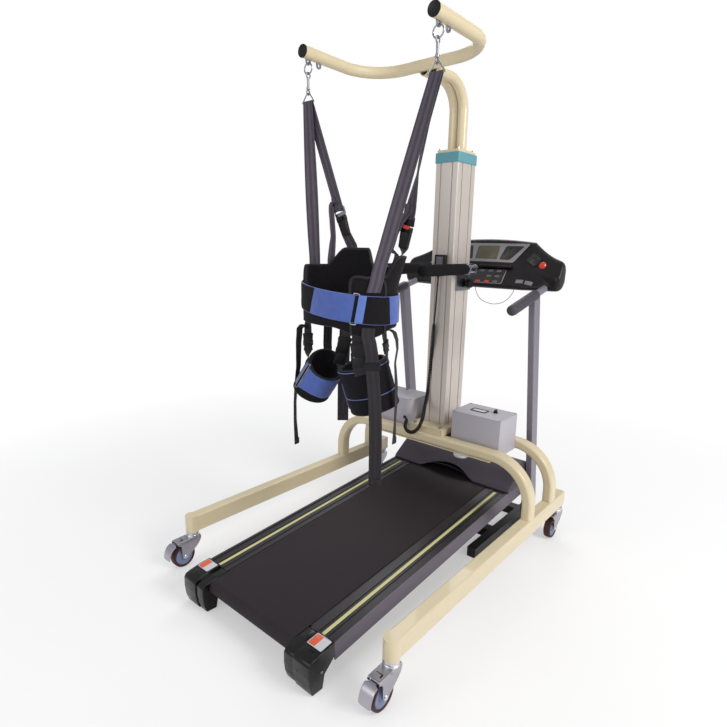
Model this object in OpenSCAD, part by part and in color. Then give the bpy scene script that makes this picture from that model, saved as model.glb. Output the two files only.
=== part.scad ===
// Body weight support system: a wheeled gantry with an electric lifting column,
// a padded harness hung from a yoke, and the treadmill that stands between the legs.
// Millimetres, +Z up, floor at z = 0, user walks towards +Y.

/* [Gantry frame] */
// Distance between the centre lines of the two floor legs
leg_spacing = 1075; // [1000:5:1200]
// Width of a leg tube
leg_w = 48; // [40:1:60]
// Height of a leg tube
leg_h = 72; // [55:1:90]
// Wall of the leg tubes
leg_wall = 3; // [2:0.5:5]
// Diameter of the round boss at the front end of each leg
boss_d = 54; // [50:1:64]
// Column centre to the front caster axis
leg_reach = 1100; // [950:5:1200]
// Column centre to the rear caster axis
leg_tail = 198; // [180:1:230]
// Height of the leg undersides above the floor
leg_clear = 141; // [135:1:170]
// Depth of the arch tubes along the walking direction
arch_w = 58; // [50:1:70]
// Height of the arch tubes
arch_h = 44; // [38:1:52]
// Wall of the arch tubes
arch_wall = 3; // [2:0.5:5]
// Bend radius of the arches on the tube centre line
arch_r = 178; // [120:2:190]
// Height of the arch undersides above the floor
arch_clear = 427; // [410:1:480]
// Column centre to the front arch
front_arch_gap = 148; // [140:1:165]
// Column centre to the rear arch
rear_arch_gap = 82; // [76:1:100]
// Length of the shelf plate under the arches
shelf_l = 710; // [640:5:720]
// Thickness of the shelf plate
shelf_t = 6; // [4:1:7]

/* [Column] */
// Column centre ahead of the middle of the treadmill
column_y = 462; // [450:1:480]
// Width of the outer column
column_w = 115; // [105:1:130]
// Depth of the outer column
column_d = 153; // [140:1:160]
// Length of the outer column
column_l = 1210; // [1150:5:1300]
// Wall of the outer column
column_wall = 12; // [10:0.5:14]
// Width of the column's outside grooves
groove_w = 7; // [4:0.5:9]
// Thickness of the plate that the column stands on
base_plate_t = 29; // [20:1:35]
// Width of the plate that the column stands on
base_plate_w = 190; // [170:2:230]
// Height of the column's top collar
collar_h = 42; // [30:1:60]
// How far the collar stands proud of the column
collar_lip = 4; // [2:0.5:8]
// Sliding gap round the inner column
stage_gap = 0.5; // [0.3:0.1:1]
// Wall of the inner column
stage_wall = 4; // [3:0.5:6]
// Travel of the lift
lift_travel = 500; // [300:10:500]
// Diameter of the lifting screw
screw_d = 20; // [16:1:26]

/* [Mast and yoke] */
// Thickness of the flange on top of the inner column
flange_t = 12; // [8:1:18]
// Diameter of the two riser tubes
riser_d = 44; // [38:1:48]
// Gap between the two riser tubes
riser_gap = 1; // [0.5:0.5:8]
// Bend radius of the riser tubes on the centre line
riser_r = 120; // [90:1:130]
// Diameter of the yoke tube
yoke_d = 46; // [40:1:52]
// Wall of the yoke and riser tubes
mast_wall = 3; // [2:0.5:4]
// Height of the yoke's centre line above the floor
yoke_z = 2064; // [2030:2:2120]
// Distance between the yoke's arms
arm_spacing = 594; // [520:2:640]
// Column centre to the tips of the yoke's arms
arm_reach = 665; // [600:5:700]
// Column centre to the yoke's cross bar
bar_reach = 250; // [230:5:270]
// Bend radius of the yoke on the centre line
yoke_r = 170; // [120:2:200]
// Thickness of the hanging lugs under the arms
lug_t = 6; // [4:0.5:8]
// Hole in the hanging lugs
lug_hole_d = 13; // [11:0.5:16]
// Arm tip to the hole of the first lug
lug_inset = 28; // [22:1:40]
// Distance between the two lugs of an arm
lug_pitch = 57; // [40:1:80]

/* [Handles and boxes] */
// Distance from the centre plane to each handle bar
handle_x = 92; // [90:1:110]
// Height of the handle bars
handle_z = 1247; // [1150:1:1350]
// Diameter of the handle bars
handle_d = 40; // [32:1:44]
// Diameter of the foam grips
foam_d = 50; // [46:1:56]
// Length of the foam grips
foam_l = 270; // [200:5:290]
// Column centre to the front ends of the handles
handle_reach = 390; // [340:5:410]
// Length of the control box
box_l = 246; // [200:2:250]
// Height of the control box
box_h = 170; // [130:2:190]
// Distance from the centre plane to the control box
box_x = 122; // [110:1:128]
// Length of the supply box
supply_l = 248; // [200:2:250]
// Width of the pendant
pendant_w = 60; // [50:1:70]
// Height of the pendant
pendant_h = 90; // [80:1:120]
// Depth of the pendant
pendant_d = 24; // [18:1:30]
// Diameter of the pendant's cord
cord_d = 7; // [5:0.5:7.5]
// Number of curls in the pendant's cord
curls = 40; // [20:1:40]
// Radius of the curls on the centre line
curl_r = 6; // [5:0.5:8]

/* [Casters] */
// Diameter of the caster wheels
wheel_d = 100; // [90:1:104]
// Width of the caster wheels
wheel_w = 32; // [26:1:36]
// Trail of the casters
trail = 51; // [40:1:56]
// Diameter of the caster stems
stem_d = 20; // [16:1:24]
// Diameter of the wheel axles
axle_d = 12; // [10:1:16]
// Radial running clearance of shafts in bores
run_gap = 0.05; // [0.02:0.01:0.1]

/* [Harness] */
// Middle of the vest from the centre plane
vest_x = -45; // [-52:1:-38]
// Middle of the vest behind the hanging line
vest_back = 28; // [20:1:36]
// Half width of the vest
vest_a = 205; // [195:1:212]
// Half depth of the vest
vest_b = 128; // [120:1:135]
// Thickness of the vest's padding
vest_t = 16; // [12:1:20]
// Height of the vest's lower edge
vest_z = 1046; // [1030:1:1060]
// Height of the vest at its lowest stretch
vest_h = 222; // [200:1:240]
// Height of the blue waist belt
belt_h = 103; // [80:1:108]
// Width of the hanging straps
strap_w = 50; // [40:1:56]
// Thickness of the webbing
strap_t = 2.6; // [2:0.1:3.5]
// Length of a leg cuff
cuff_h = 185; // [150:1:200]
// Half width of a leg cuff
cuff_a = 92; // [80:1:95]

/* [Treadmill] */
// Treadmill's middle from the gantry's centre plane
tread_x = 22; // [0:1:30]
// Overall length of the treadmill
tread_l = 1624; // [1600:2:1640]
// Half width over the side rails
rail_out = 338; // [325:1:345]
// Width of the running belt
belt_w = 440; // [400:2:446]
// Thickness of the running belt
belt_t = 2.4; // [1.5:0.1:3]
// Diameter of the rollers
roller_d = 50; // [40:1:56]
// Height of the deck's top above the floor at the rear caps
deck_z = 125; // [120:1:140]
// Slope of the deck
deck_tilt = 3.4; // [2.5:0.1:3.6]
// Height of the side rails
rail_h = 62; // [50:1:70]
// Length of a rear end cap
cap_l = 114; // [105:1:125]
// Height of the motor hood above the deck
hood_h = 105; // [90:1:110]
// Width of a base frame tube
base_w = 40; // [30:1:44]
// Height of a base frame tube
base_h = 45; // [35:1:50]
// Thickness of an upright across the walking direction
upright_w = 30; // [25:1:40]
// Depth of an upright along the walking direction
upright_d = 60; // [50:1:70]
// Lean of the uprights towards the user
upright_lean = 9.4; // [6:0.2:10]
// Diameter of the hand rails
rail_d = 32; // [28:1:36]
// Diameter of the hand rail grips
grip_d = 44; // [38:1:48]
// Half width of the console
console_a = 424; // [405:1:428]

/* [Hidden] */
$fn = 48;
seat = 0.2;                  // gap between pieces that are welded, glued or pushed together
slip = 0.4;                  // gap between pieces that move past each other
leg_x = leg_spacing / 2;
leg_top = leg_clear + leg_h;
beam_top = arch_clear + arch_h;
column_z = beam_top + base_plate_t;
column_top = column_z + column_l;
collar_top = column_top + collar_h;
flange_z = collar_top + stage_gap;
flange_top = flange_z + flange_t;
front_y = column_y - front_arch_gap;
rear_y = column_y + rear_arch_gap;
column_face = column_y - column_d / 2;
caster_front = column_y - leg_reach;
caster_rear = column_y + leg_tail;

// Inside of the column
cavity_w = column_w - 2 * column_wall;
cavity_d = column_d - 2 * column_wall;
stage_w = cavity_w - 2 * stage_gap;
stage_d = cavity_d - 2 * stage_gap;
motor_h = 140;
stage_z = column_z + motor_h + 20;
nut_h = 40;
screw_top = stage_z + nut_h + lift_travel + 60;
screw_seat = 22;

// Mast and yoke
riser_x = (riser_d + riser_gap) / 2;
riser_drop = 18;
riser_z = yoke_z - riser_drop;
arm_x = arm_spacing / 2;
arm_tip = column_y - arm_reach;
cross_y = column_y - bar_reach;
hang_y = arm_tip + lug_inset;
lug_drop = 9;
lug_z = yoke_z - yoke_d / 2 - lug_drop;
lug_r = lug_hole_d / 2 + 5.5;
cap_t = 4;

// Hanging hardware, from the lug downwards
wire_d = 5.6;
ring_r = 20;
hang_z = lug_z - lug_hole_d / 2 + wire_d / 2 + 0.7;
ring_z = hang_z - ring_r;
hook_r = 10;
hook_z = ring_z - ring_r + wire_d / 2 + slip - (hook_r - wire_d / 2);
hook_l = 52;
eye_r = 8;
eye_z = hook_z - hook_r - hook_l;
link_d = 5;
link_z = eye_z - eye_r + wire_d / 2 + link_d / 2 + slip;
link_h = 32;
link_w = strap_w + 14;
strap_z = link_z - link_h - link_d / 2 - seat;

// Harness
vest_y = hang_y - vest_back;
vest_top = vest_z + vest_h;
back_rise = 64;
side_rise = 48;
front_dip = 95;
flare_out = 34;               // how far the right side leans out at its top, towards its strap
belt_t_pad = 7;
belt_z = vest_z + 38;
belt_drop = 21;              // tilt of the belt round the vest
buckle_l = 78;
tongue_l = 34;

// Handles
handle_y = column_y - handle_reach;
handle_back = column_y + 55;
plate_t = 6;
knob_z = handle_z - 67;

// Treadmill
console_back = 273.5;        // treadmill's front end behind the column's back face
tread_front = column_y + column_d / 2 + console_back;
tread_rear = tread_front - tread_l;
deck_y = tread_rear + cap_l;
rail_in = belt_w / 2 + 8;
rail_l = tread_l - cap_l - 70;
rail_t = 4;
roller_l = belt_w + 4;
shaft_d = 17;
roller_z = -roller_d / 2 - belt_t - slip;
rear_roller_y = -58;
front_roller_y = rail_l - 110;
hood_y = rail_l - 240;
hood_t = 3;
base_in = rail_out + 5 - base_w;
base_y = tread_front - 616;
base_end = tread_front - 22;
bars_y = [base_y + 219, base_end - 85];
upright_x = rail_out + 5 + upright_w / 2;
upright_foot = tread_front - 63;
bracket_y = tread_front - 122;
bracket_l = 60;
rail_top_z = 1172;
rail_root_y = tread_front - 122;
grip_y = tread_front - 480;
grip_z = 1088;
grip_l = 190;
stop_d = 34;
stop_travel = 4;

// Pendant cord: hand-chosen points, with the curls between the two lists
cord_down = [[-10, 373, 1208], [-10, 373, 1195], [-11, 372, 1150], [-13, 372, 1090],
             [-16, 371, 1030], [-18, 371, 996]];
cord_loop = [[-43, 371, 610], [-42, 364, 590], [-36, 348, 568], [-24, 322, 548],
             [-12, 294, 528], [-12, 276, 506], [-26, 270, 484], [-50, 268, 468],
             [-76, 268, 470], [-93, 272, 488], [-98, 286, 506], [-110, 308, 513],
             [-130, 326, 510], [-144, 334, 506], [-148, 339, 505], [-148, 343.8, 505]];
lanyard_at = [[8, 0, 1151.8], [8, 0, 1142], [15, 1, 1124], [30, 2, 1102],
              [52, 2, 1085], [80, 2, 1076], [110, 2, 1072], [140, 2, 1076],
              [168, 2, 1087], [190, 2, 1104], [206, 1, 1126], [214, 0, 1142],
              [214, 0, 1151.8]];
lanyard_y = tread_front - 112;
lanyard_path = [for (p = lanyard_at) [p[0], lanyard_y - p[1], p[2]]];
lanyard_d = 3;

cream = [0.86, 0.80, 0.67];
alu = [0.76, 0.75, 0.74];
zinc = [0.70, 0.70, 0.73];
chrome = [0.82, 0.82, 0.85];
grey = [0.66, 0.65, 0.69];
black = [0.10, 0.09, 0.10];
charcoal = [0.20, 0.19, 0.21];
webbing = [0.28, 0.26, 0.31];
teal = [0.36, 0.58, 0.62];
blue = [0.27, 0.35, 0.66];
red = [0.86, 0.27, 0.22];
hub_blue = [0.46, 0.52, 0.66];

function unit(v) = v / norm(v);
function mix(a, b, u) = a + (b - a) * u;
function clamp01(u) = max(0, min(1, u));
function bump(t, c, w) =
    let (d = abs((t - c + 900) % 360 - 180)) d < w ? 0.5 + 0.5 * cos(180 * d / w) : 0;
function tangents(p) =
    [for (i = [0:len(p) - 1]) unit(p[min(i + 1, len(p) - 1)] - p[max(i - 1, 0)])];
function square_to(n, t) = unit(n - t * (n * t));
function carried(p, t, first) =
    [for (i = 0, n = square_to(first, t[0]); i < len(p);
          i = i + 1, n = square_to(n, t[min(i, len(p) - 1)])) n];

// Triangles of a tube of rings, open or closed along its length
function ring_faces(rings, sides, closed = false) =
    [for (k = [0:rings - (closed ? 1 : 2)], j = [0:sides - 1])
        let (a = k * sides + j, b = k * sides + (j + 1) % sides,
             c = (k + 1) % rings * sides + (j + 1) % sides, d = (k + 1) % rings * sides + j)
        each [[a, c, b], [a, d, c]]];
function cap_faces(rings, sides) =
    let (e = (rings - 1) * sides)
    [for (j = [1:sides - 2]) each [[0, j, j + 1], [e, e + j + 1, e + j]]];

// Round tube along a list of points
module cord(p, d, sides, first) {
    t = tangents(p);
    n = carried(p, t, first);
    points = [for (i = [0:len(p) - 1], j = [0:sides - 1])
        let (a = 360 * j / sides, m = square_to(n[i], t[i]))
        p[i] + d / 2 * (cos(a) * m + sin(a) * cross(t[i], m))];
    polyhedron(points, concat(ring_faces(len(p), sides), cap_faces(len(p), sides)));
}

// Points and width directions set closer together
function closer(p, n) =
    [for (i = [0:len(p) - 2], k = [0:n - 1]) mix(p[i], p[i + 1], k / n), p[len(p) - 1]];

// Flat webbing along a list of points, with the direction of its width at each point
module ribbon(p, wide, w = strap_w, thick = strap_t) {
    t = tangents(p);
    points = [for (i = [0:len(p) - 1], c = [[1, -1], [1, 1], [-1, 1], [-1, -1]])
        let (m = square_to(wide[i], t[i]))
        p[i] + c[0] * w / 2 * m + c[1] * thick / 2 * cross(t[i], m)];
    polyhedron(points, concat(ring_faces(len(p), 4), cap_faces(len(p), 4)));
}

// Padded band round an upright oval: rounded edges, crowned faces, edge heights by angle
pad_edge = [[0, 0], [0.36, 0.02], [0.46, 0.09], [0.56, 0.5], [0.54, 0.64], [0.46, 0.91], [0.36, 0.98],
            [0, 1], [-0.36, 0.98], [-0.46, 0.91], [-0.49, 0.64], [-0.5, 0.5], [-0.46, 0.09], [-0.36, 0.02]];
module band(centre, a, b, thick, low, high, steps, lean = [0, 0], bulge = function(t, z) 0) {
    points = [for (i = [0:steps - 1], e = pad_edge)
        let (t = 360 * i / steps, z = mix(low(t), high(t), e[1]), o = thick * e[0] + bulge(t, z))
        [centre[0] + (a + o) * cos(t) + lean[0] * (z - centre[2]),
         centre[1] + (b + o) * sin(t) + lean[1] * (z - centre[2]), z]];
    polyhedron(points, [for (f = ring_faces(steps, len(pad_edge), true)) [f[0], f[2], f[1]]]);
}

module round_rect(w, d, r) {
    square([w - 2 * r, d], center = true);
    square([w, d - 2 * r], center = true);
    for (x = [-1, 1], y = [-1, 1])
        translate([x * (w / 2 - r), y * (d / 2 - r)]) circle(r);
}
module along_x(h) rotate([90, 0, 90]) linear_extrude(h, center = true) children();
module rod_x(d, h) rotate([0, 90, 0]) cylinder(d = d, h = h, center = true);
module rod_y(d, h) rotate([-90, 0, 0]) cylinder(d = d, h = h);
module both_sides() {
    children();
    mirror([1, 0, 0]) children();
}

// Gantry frame
stem_l = 55;
leg_end = caster_rear + boss_d / 2;
module leg_box(w, h, y0, y1, r)
    translate([leg_x, y1, leg_clear + leg_h / 2]) rotate([90, 0, 0])
        linear_extrude(y1 - y0) round_rect(w, h, r);
module legs() color(cream) both_sides() difference() {
    union() {
        difference() {
            leg_box(leg_w, leg_h, caster_front, leg_end, 6);
            leg_box(leg_w - 2 * leg_wall, leg_h - 2 * leg_wall, caster_front, leg_end - leg_wall, 3);
        }
        for (y = [caster_front, caster_rear])
            translate([leg_x, y, leg_clear])
                cylinder(d = y == caster_front ? boss_d : stem_d + 16, h = leg_h);
    }
    for (y = [caster_front, caster_rear])
        translate([leg_x, y, leg_clear - 1])
            cylinder(d = stem_d + 2 * run_gap, h = stem_l + 3);
}
module arch_profile() difference() {
    round_rect(arch_h, arch_w, 12);
    round_rect(arch_h - 2 * arch_wall, arch_w - 2 * arch_wall, 12 - arch_wall);
}
module arch(y) color(cream) {
    bend_x = leg_x - arch_r;
    bend_z = arch_clear + arch_h / 2 - arch_r;
    both_sides() {
        translate([leg_x, y, leg_top]) linear_extrude(bend_z - leg_top) arch_profile();
        translate([bend_x, y, bend_z]) rotate([90, 0, 0]) rotate_extrude(angle = 90)
            translate([arch_r, 0]) arch_profile();
    }
    translate([-bend_x, y, bend_z + arch_r]) rotate([0, 90, 0]) linear_extrude(2 * bend_x)
        arch_profile();
}
module front_arch() arch(front_y);
module rear_arch() arch(rear_y);
module shelf_plate() color(cream)
    translate([-shelf_l / 2, front_y - arch_w / 2 + 4, arch_clear - shelf_t])
        cube([shelf_l, rear_y - front_y + arch_w - 8, shelf_t]);

// Column
bolt_x = base_plate_w / 2 - 23;
bolt_y = [front_y + 15, rear_y + 10];
module bolt(head, d, l) {
    cylinder(d = head, h = 8, $fn = 6);
    translate([0, 0, -l]) cylinder(d = d, h = l);
}
module column_base_plate() color(cream) {
    plate_y = front_y - arch_w / 2 + 20;
    difference() {
        translate([-base_plate_w / 2, plate_y, beam_top])
            cube([base_plate_w, rear_y + arch_w / 2 - plate_y, base_plate_t]);
        for (x = [-bolt_x, bolt_x], y = bolt_y)
            translate([x, y, beam_top - 1]) cylinder(d = 10.4, h = base_plate_t + 2);
    }
    for (x = [-bolt_x, bolt_x], y = bolt_y)
        translate([x, y, column_z + seat]) bolt(17, 10, base_plate_t);
}
module column_outer() color(alu) translate([0, column_y, column_z]) linear_extrude(column_l)
    difference() {
        round_rect(column_w, column_d, 4);
        round_rect(cavity_w, cavity_d, 5);
        for (s = [-1, 1], x = [-0.26, 0.26])
            translate([x * column_w, s * column_d / 2]) square([groove_w, 10], center = true);
        for (s = [-1, 1], y = [-0.25, 0.25])
            translate([s * column_w / 2, y * column_d]) square([10, groove_w], center = true);
    }
module column_collar() color(teal) translate([0, column_y, column_top]) linear_extrude(collar_h)
    difference() {
        round_rect(column_w + 2 * collar_lip, column_d + 2 * collar_lip, 6);
        round_rect(cavity_w, cavity_d, 5);
    }
module lift_motor() color(charcoal) translate([0, column_y, column_z]) difference() {
    union() {
        linear_extrude(motor_h - 35) round_rect(cavity_w - 10, cavity_d - 24, 8);
        cylinder(d = cavity_w - 24, h = motor_h);
    }
    translate([0, 0, motor_h - screw_seat]) cylinder(d = screw_d - 4 + 2 * run_gap, h = screw_seat + 1);
}
module lead_screw() color(zinc) translate([0, column_y, 0]) {
    translate([0, 0, column_z + motor_h - screw_seat + slip]) cylinder(d = screw_d - 4, h = screw_seat);
    translate([0, 0, column_z + motor_h + slip])
        cylinder(d = screw_d, h = screw_top - column_z - motor_h - slip);
}
module column_inner() color(alu) translate([0, column_y, stage_z]) {
    difference() {
        linear_extrude(flange_z - stage_z) round_rect(stage_w, stage_d, 4.5);
        translate([0, 0, nut_h]) linear_extrude(flange_z - stage_z)
            round_rect(stage_w - 2 * stage_wall, stage_d - 2 * stage_wall, 2);
        translate([0, 0, -1]) cylinder(d = screw_d + 2 * run_gap, h = nut_h + 2);
    }
}

// Mast and yoke
module mast_flange() color(cream) translate([0, column_y, flange_z]) {
    difference() {
        linear_extrude(flange_t) round_rect(column_w - 2, column_d - 4, 6);
        for (x = [-1, 1], y = [-1, 1])
            translate([x * (column_w / 2 - 12), y * (column_d / 2 - 13), -1])
                cylinder(d = 8.4, h = flange_t + 2);
    }
    for (x = [-1, 1], y = [-1, 1])
        translate([x * (column_w / 2 - 12), y * (column_d / 2 - 13), flange_t + seat]) bolt(14, 8, flange_t);
}
module pipe_profile(d) difference() {
    circle(d = d);
    circle(d = d - 2 * mast_wall);
}
module riser_tubes() color(cream) both_sides() difference() {
    translate([riser_x, column_y, 0]) {
        translate([0, 0, flange_top]) linear_extrude(riser_z - riser_r - flange_top) pipe_profile(riser_d);
        translate([0, -riser_r, riser_z - riser_r]) rotate([90, 0, 90]) rotate_extrude(angle = 90)
            translate([riser_r, 0]) pipe_profile(riser_d);
        translate([0, -riser_r, riser_z]) rotate([90, 0, 0])
            linear_extrude(bar_reach - riser_r) pipe_profile(riser_d);
    }
    translate([0, cross_y, yoke_z]) rod_x(yoke_d + 2 * seat, 6 * riser_d);
}
module yoke_path(d, over = 0) translate([0, 0, yoke_z]) {
    both_sides() {
        translate([arm_x, arm_tip - over, 0]) rod_y(d, cross_y - yoke_r - arm_tip + over);
        translate([arm_x - yoke_r, cross_y - yoke_r, 0]) rotate_extrude(angle = 90)
            translate([yoke_r, 0]) circle(d = d);
    }
    translate([0, cross_y, 0]) rod_x(d, 2 * (arm_x - yoke_r));
}
module at_lugs() for (s = [-1, 1], y = [hang_y, hang_y + lug_pitch])
    translate([s * arm_x, y, lug_z]) children();
module yoke() color(cream) difference() {
    union() {
        yoke_path(yoke_d);
        at_lugs() {
            rod_x(2 * lug_r, lug_t);
            translate([-lug_t / 2, -lug_r, 0]) cube([lug_t, 2 * lug_r, lug_drop + 6]);
        }
    }
    yoke_path(yoke_d - 2 * mast_wall, 1);
    at_lugs() rod_x(lug_hole_d, lug_t + 2);
}
module yoke_end_caps() color(black) both_sides() translate([arm_x, arm_tip, yoke_z]) {
    translate([0, -cap_t, 0]) rod_y(yoke_d + 2, cap_t);
    rod_y(yoke_d - 2 * mast_wall - 2 * seat, 18);
}

// Hanging hardware
module wire_ring(r, d) rotate_extrude() translate([r, 0]) circle(d = d);
module strap_rings() color(chrome) both_sides() translate([arm_x, hang_y, 0]) {
    translate([0, 0, ring_z]) rotate([90, 0, 0]) wire_ring(ring_r, wire_d);
    corners = [[-7, link_z], [-link_w / 2, link_z - link_h], [link_w / 2, link_z - link_h], [7, link_z]];
    for (i = [0:3]) {
        a = corners[i];
        b = corners[(i + 1) % 4];
        translate([a[0], 0, a[1]]) {
            sphere(d = link_d + 0.6);
            rotate([0, 90 - atan2(b[1] - a[1], b[0] - a[0]), 0]) cylinder(d = link_d, h = norm(b - a));
        }
    }
}
module snap_hooks() color(zinc) both_sides() translate([arm_x, hang_y, 0]) {
    translate([0, 0, hook_z]) rotate([0, 90, 0]) wire_ring(hook_r, wire_d);
    translate([0, 0, eye_z + eye_r]) {
        cylinder(d1 = 8, d2 = 11, h = hook_l - eye_r + 2);
        translate([0, 0, 2]) cylinder(d = 14, h = 9);
    }
    translate([0, 0, eye_z]) rotate([0, 90, 0]) wire_ring(eye_r, wire_d);
}

// Harness: places on the oval wall of the vest
function flare(t, z) = flare_out * bump(t, 28, 62) * clamp01((z - belt_z - belt_h - 10) / 120);
function on_vest(t, out, z) =
    let (o = out + flare(t, z))
    [vest_x + (vest_a + o) * cos(t), vest_y + (vest_b + o) * sin(t), z];
function round_vest(t) = unit([-vest_a * sin(t), vest_b * cos(t), 0]);
function vest_bend(t) =
    pow(vest_a * vest_a * pow(sin(t), 2) + vest_b * vest_b * pow(cos(t), 2), 1.5) / vest_a / vest_b;
function vest_low(t) = vest_z - 34 * bump(t, 322, 45);
function vest_dip(t) = front_dip * (clamp01((t - 211) / 15) - 0.65 * clamp01((t - 298) / 8)
                                    - 0.35 * clamp01((t - 342) / 18));
function vest_high(t) = vest_top + back_rise * min(clamp01((142 - t) / 26), clamp01((t - 84) / 6))
                        + side_rise * bump(t, 26, 34) - 20 * bump(t, 70, 16) - vest_dip(t);
function belt_low(t) = belt_z - belt_drop * cos(t + 10);
skin = vest_t * 0.56 + strap_t / 2 + slip;
lining = -vest_t * 0.5 - strap_t / 2 - 1.8;
belt_out = skin + belt_t_pad / 2 - 1;
across = [1, 0, 0];
back_t = [118, 28];              // angles on the vest where the two back straps are sewn
return_t = [146, 48];            // and where their loose ends come down
function strap_top(s, far) = [s * arm_x, hang_y + (far * 2.8 - 1.8) * (strap_t / 2 + seat), strap_z];
function back_end(i, t, down) =
    on_vest(t[i], lining - strap_w * strap_w / 8 / vest_bend(t[i]), vest_high(t[i]) - down);
function buckle_dir(i) = unit(back_end(i, back_t, -4) - strap_top(2 * i - 1, 1));
tongue_share = [0.785, 0.83];    // place of the buckles along the back straps
function tongue_at(i) = mix(strap_top(2 * i - 1, 1), back_end(i, back_t, -4), tongue_share[i]);
module vest() color(black) band([vest_x, vest_y, vest_z], vest_a, vest_b, vest_t,
    function(t) vest_low(t), function(t) vest_high(t), 60, bulge = function(t, z) flare(t, z));
module waist_belt() color(blue) band([vest_x, vest_y, belt_z], vest_a + belt_out, vest_b + belt_out,
    belt_t_pad, function(t) belt_low(t), function(t) belt_low(t) + belt_h, 44);
module strap(p, wide, n = 6, w = strap_w) ribbon(closer(p, n), closer(wide, n), w);
module harness_straps() color(webbing) {
    sewn_z = [belt_low(170) + belt_h + 12, belt_low(328) + belt_h + 12];
    plumb = [0, 0, -14];         // the first stretch hangs square to its link
    near = [strap_top(-1, 0), strap_top(1, 0)];
    strap([near[0], near[0] + plumb, on_vest(170, skin, vest_top + 4), on_vest(170, skin, sewn_z[0])],
          [across, across, -round_vest(170), -round_vest(170)]);
    strap([near[1], near[1] + plumb, on_vest(333, skin + 2, vest_high(333) + 6), on_vest(328, skin, sewn_z[1])],
          [across, across, round_vest(333), round_vest(328)]);
    for (i = [0, 1]) {
        d = buckle_dir(i);
        out = cross(d, square_to(across, d));
        seam = -round_vest(back_t[i]);
        p = tongue_at(i);
        far = strap_top(2 * i - 1, 1);
        strap([far, far + plumb, p - d * (tongue_l + 14), p - d * tongue_l], [for (k = [0:3]) across], 2);
        strap([p + d * (buckle_l + seat), back_end(i, back_t, -4), back_end(i, back_t, 46)],
              [across, seam, seam], 3);
        end = -round_vest(return_t[i]);
        strap([p - d * (tongue_l + 16) + out * 3.1, p - d * (tongue_l + 2) + out * 10 - across * 4,
               p + out * 18 - across * 18, p + d * (buckle_l + 3) + out * 17 - across * 36, back_end(i, return_t, -6),
               back_end(i, return_t, 50)],
              [across, across, across, across, end, end], 2, strap_w * 0.8);
    }
}
module at_buckle(i) {
    z = buckle_dir(i);
    x = square_to(across, z);
    y = cross(z, x);
    p = tongue_at(i);
    multmatrix([[x[0], y[0], z[0], p[0]], [x[1], y[1], z[1], p[1]], [x[2], y[2], z[2], p[2]],
                [0, 0, 0, 1]]) children();
}
module buckle_bodies() color(black) for (i = [0, 1]) at_buckle(i) {
    translate([0, 0, -tongue_l + seat]) linear_extrude(tongue_l - 6) round_rect(strap_w + 6, 7, 3);
    translate([0, 0, -6.5]) linear_extrude(22) round_rect(24, 3, 1);
    difference() {
        linear_extrude(buckle_l) round_rect(46, 22, 7);
        translate([0, 0, -1]) linear_extrude(18) round_rect(26, 5, 1.5);
        translate([0, 9, -1]) linear_extrude(16) round_rect(30, 8, 1.5);
    }
}
module buckle_button(i) color(red) at_buckle(i)
    translate([0, 9, -2]) linear_extrude(12) round_rect(30 - 2 * slip, 8 - 2 * slip, 1.2);
module buckle_button_left() buckle_button(0);
module buckle_button_right() buckle_button(1);

// Leg cuffs under the vest: middle of the lower edge, half width, half depth, lean of the axis,
// slope of the rims and its direction, height, rise of the back rim
cuffs = [[[-183, vest_y - 73, vest_z - 290], cuff_a - 10, cuff_a - 10, [0.62, 0.16], [-37, 14.5], cuff_h - 59, 20],
         [[84, vest_y + 21, vest_z - 322], cuff_a + 6, cuff_a, [-0.24, -0.2], [27, 38], cuff_h - 5, 0]];
cuff_t = 15;
function on_cuff(i, t, out, z) =
    let (c = cuffs[i])
    [c[0][0] + (c[1] + out) * cos(t) + c[3][0] * (z - c[0][2]),
     c[0][1] + (c[2] + out) * sin(t) + c[3][1] * (z - c[0][2]), z];
function cuff_low(i, t) = cuffs[i][0][2] + cuffs[i][4][0] * cos(t - cuffs[i][4][1]);
function cuff_high(i, t) = cuff_low(i, t) + cuffs[i][5] + cuffs[i][6] * cos(t - 135);
module leg_cuffs() color(black) for (i = [0, 1]) let (c = cuffs[i])
    band(c[0], c[1], c[2], cuff_t, function(t) cuff_low(i, t), function(t) cuff_high(i, t), 28, c[3]);

// Webbing of the cuffs: points, directions of the width, width
hem = vest_t * 0.46 + strap_t / 2 + 0.3;
sewn = cuff_t * 0.56 + strap_t / 2 + 0.15;
function cuff_web(t, i, u, w) =
    let (in = -hem - 0.4 - w * w / 8 / vest_bend(t), rim = cuff_high(i, u))
    [[on_vest(t, in, vest_low(t) + 20), on_vest(t, in, vest_low(t) - 8), on_cuff(i, u, sewn, rim - 6),
      on_cuff(i, u, sewn, rim - 58)],
     [round_vest(t), round_vest(t), [-sin(u), cos(u), 0], [-sin(u), cos(u), 0]], w];
function tail(t, drift, low, w) =
    let (rise = min(20, belt_low(t) - vest_low(t) - 4), share = rise / (vest_high(t) - vest_low(t)),
         out = hem - vest_t * 0.1 * (1 - clamp01((share - 0.02) / 0.07)),
         a = on_vest(t, out, vest_low(t) + rise), b = on_vest(t, out + 2, vest_low(t) - 6))
    [[a, b, [b[0] + drift[0], b[1] + drift[1], mix(b[2], low, 0.45)], [b[0] + drift[0], b[1] + drift[1], low]],
     [for (k = [0:3]) round_vest(t)], w];
webs = [cuff_web(215, 0, 225, 30), cuff_web(150, 0, 150, 36), cuff_web(296, 1, 215, 36),
        cuff_web(311, 1, 303, 46), cuff_web(352, 1, 30, 26),
        tail(204, [-28, -14], vest_z - 506, 26), tail(132, [62, -6], vest_z - 410, 48),
        tail(323, [14, 10], vest_z - 594, 48), tail(4, [22, -24], vest_z - 486, 26)];
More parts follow.
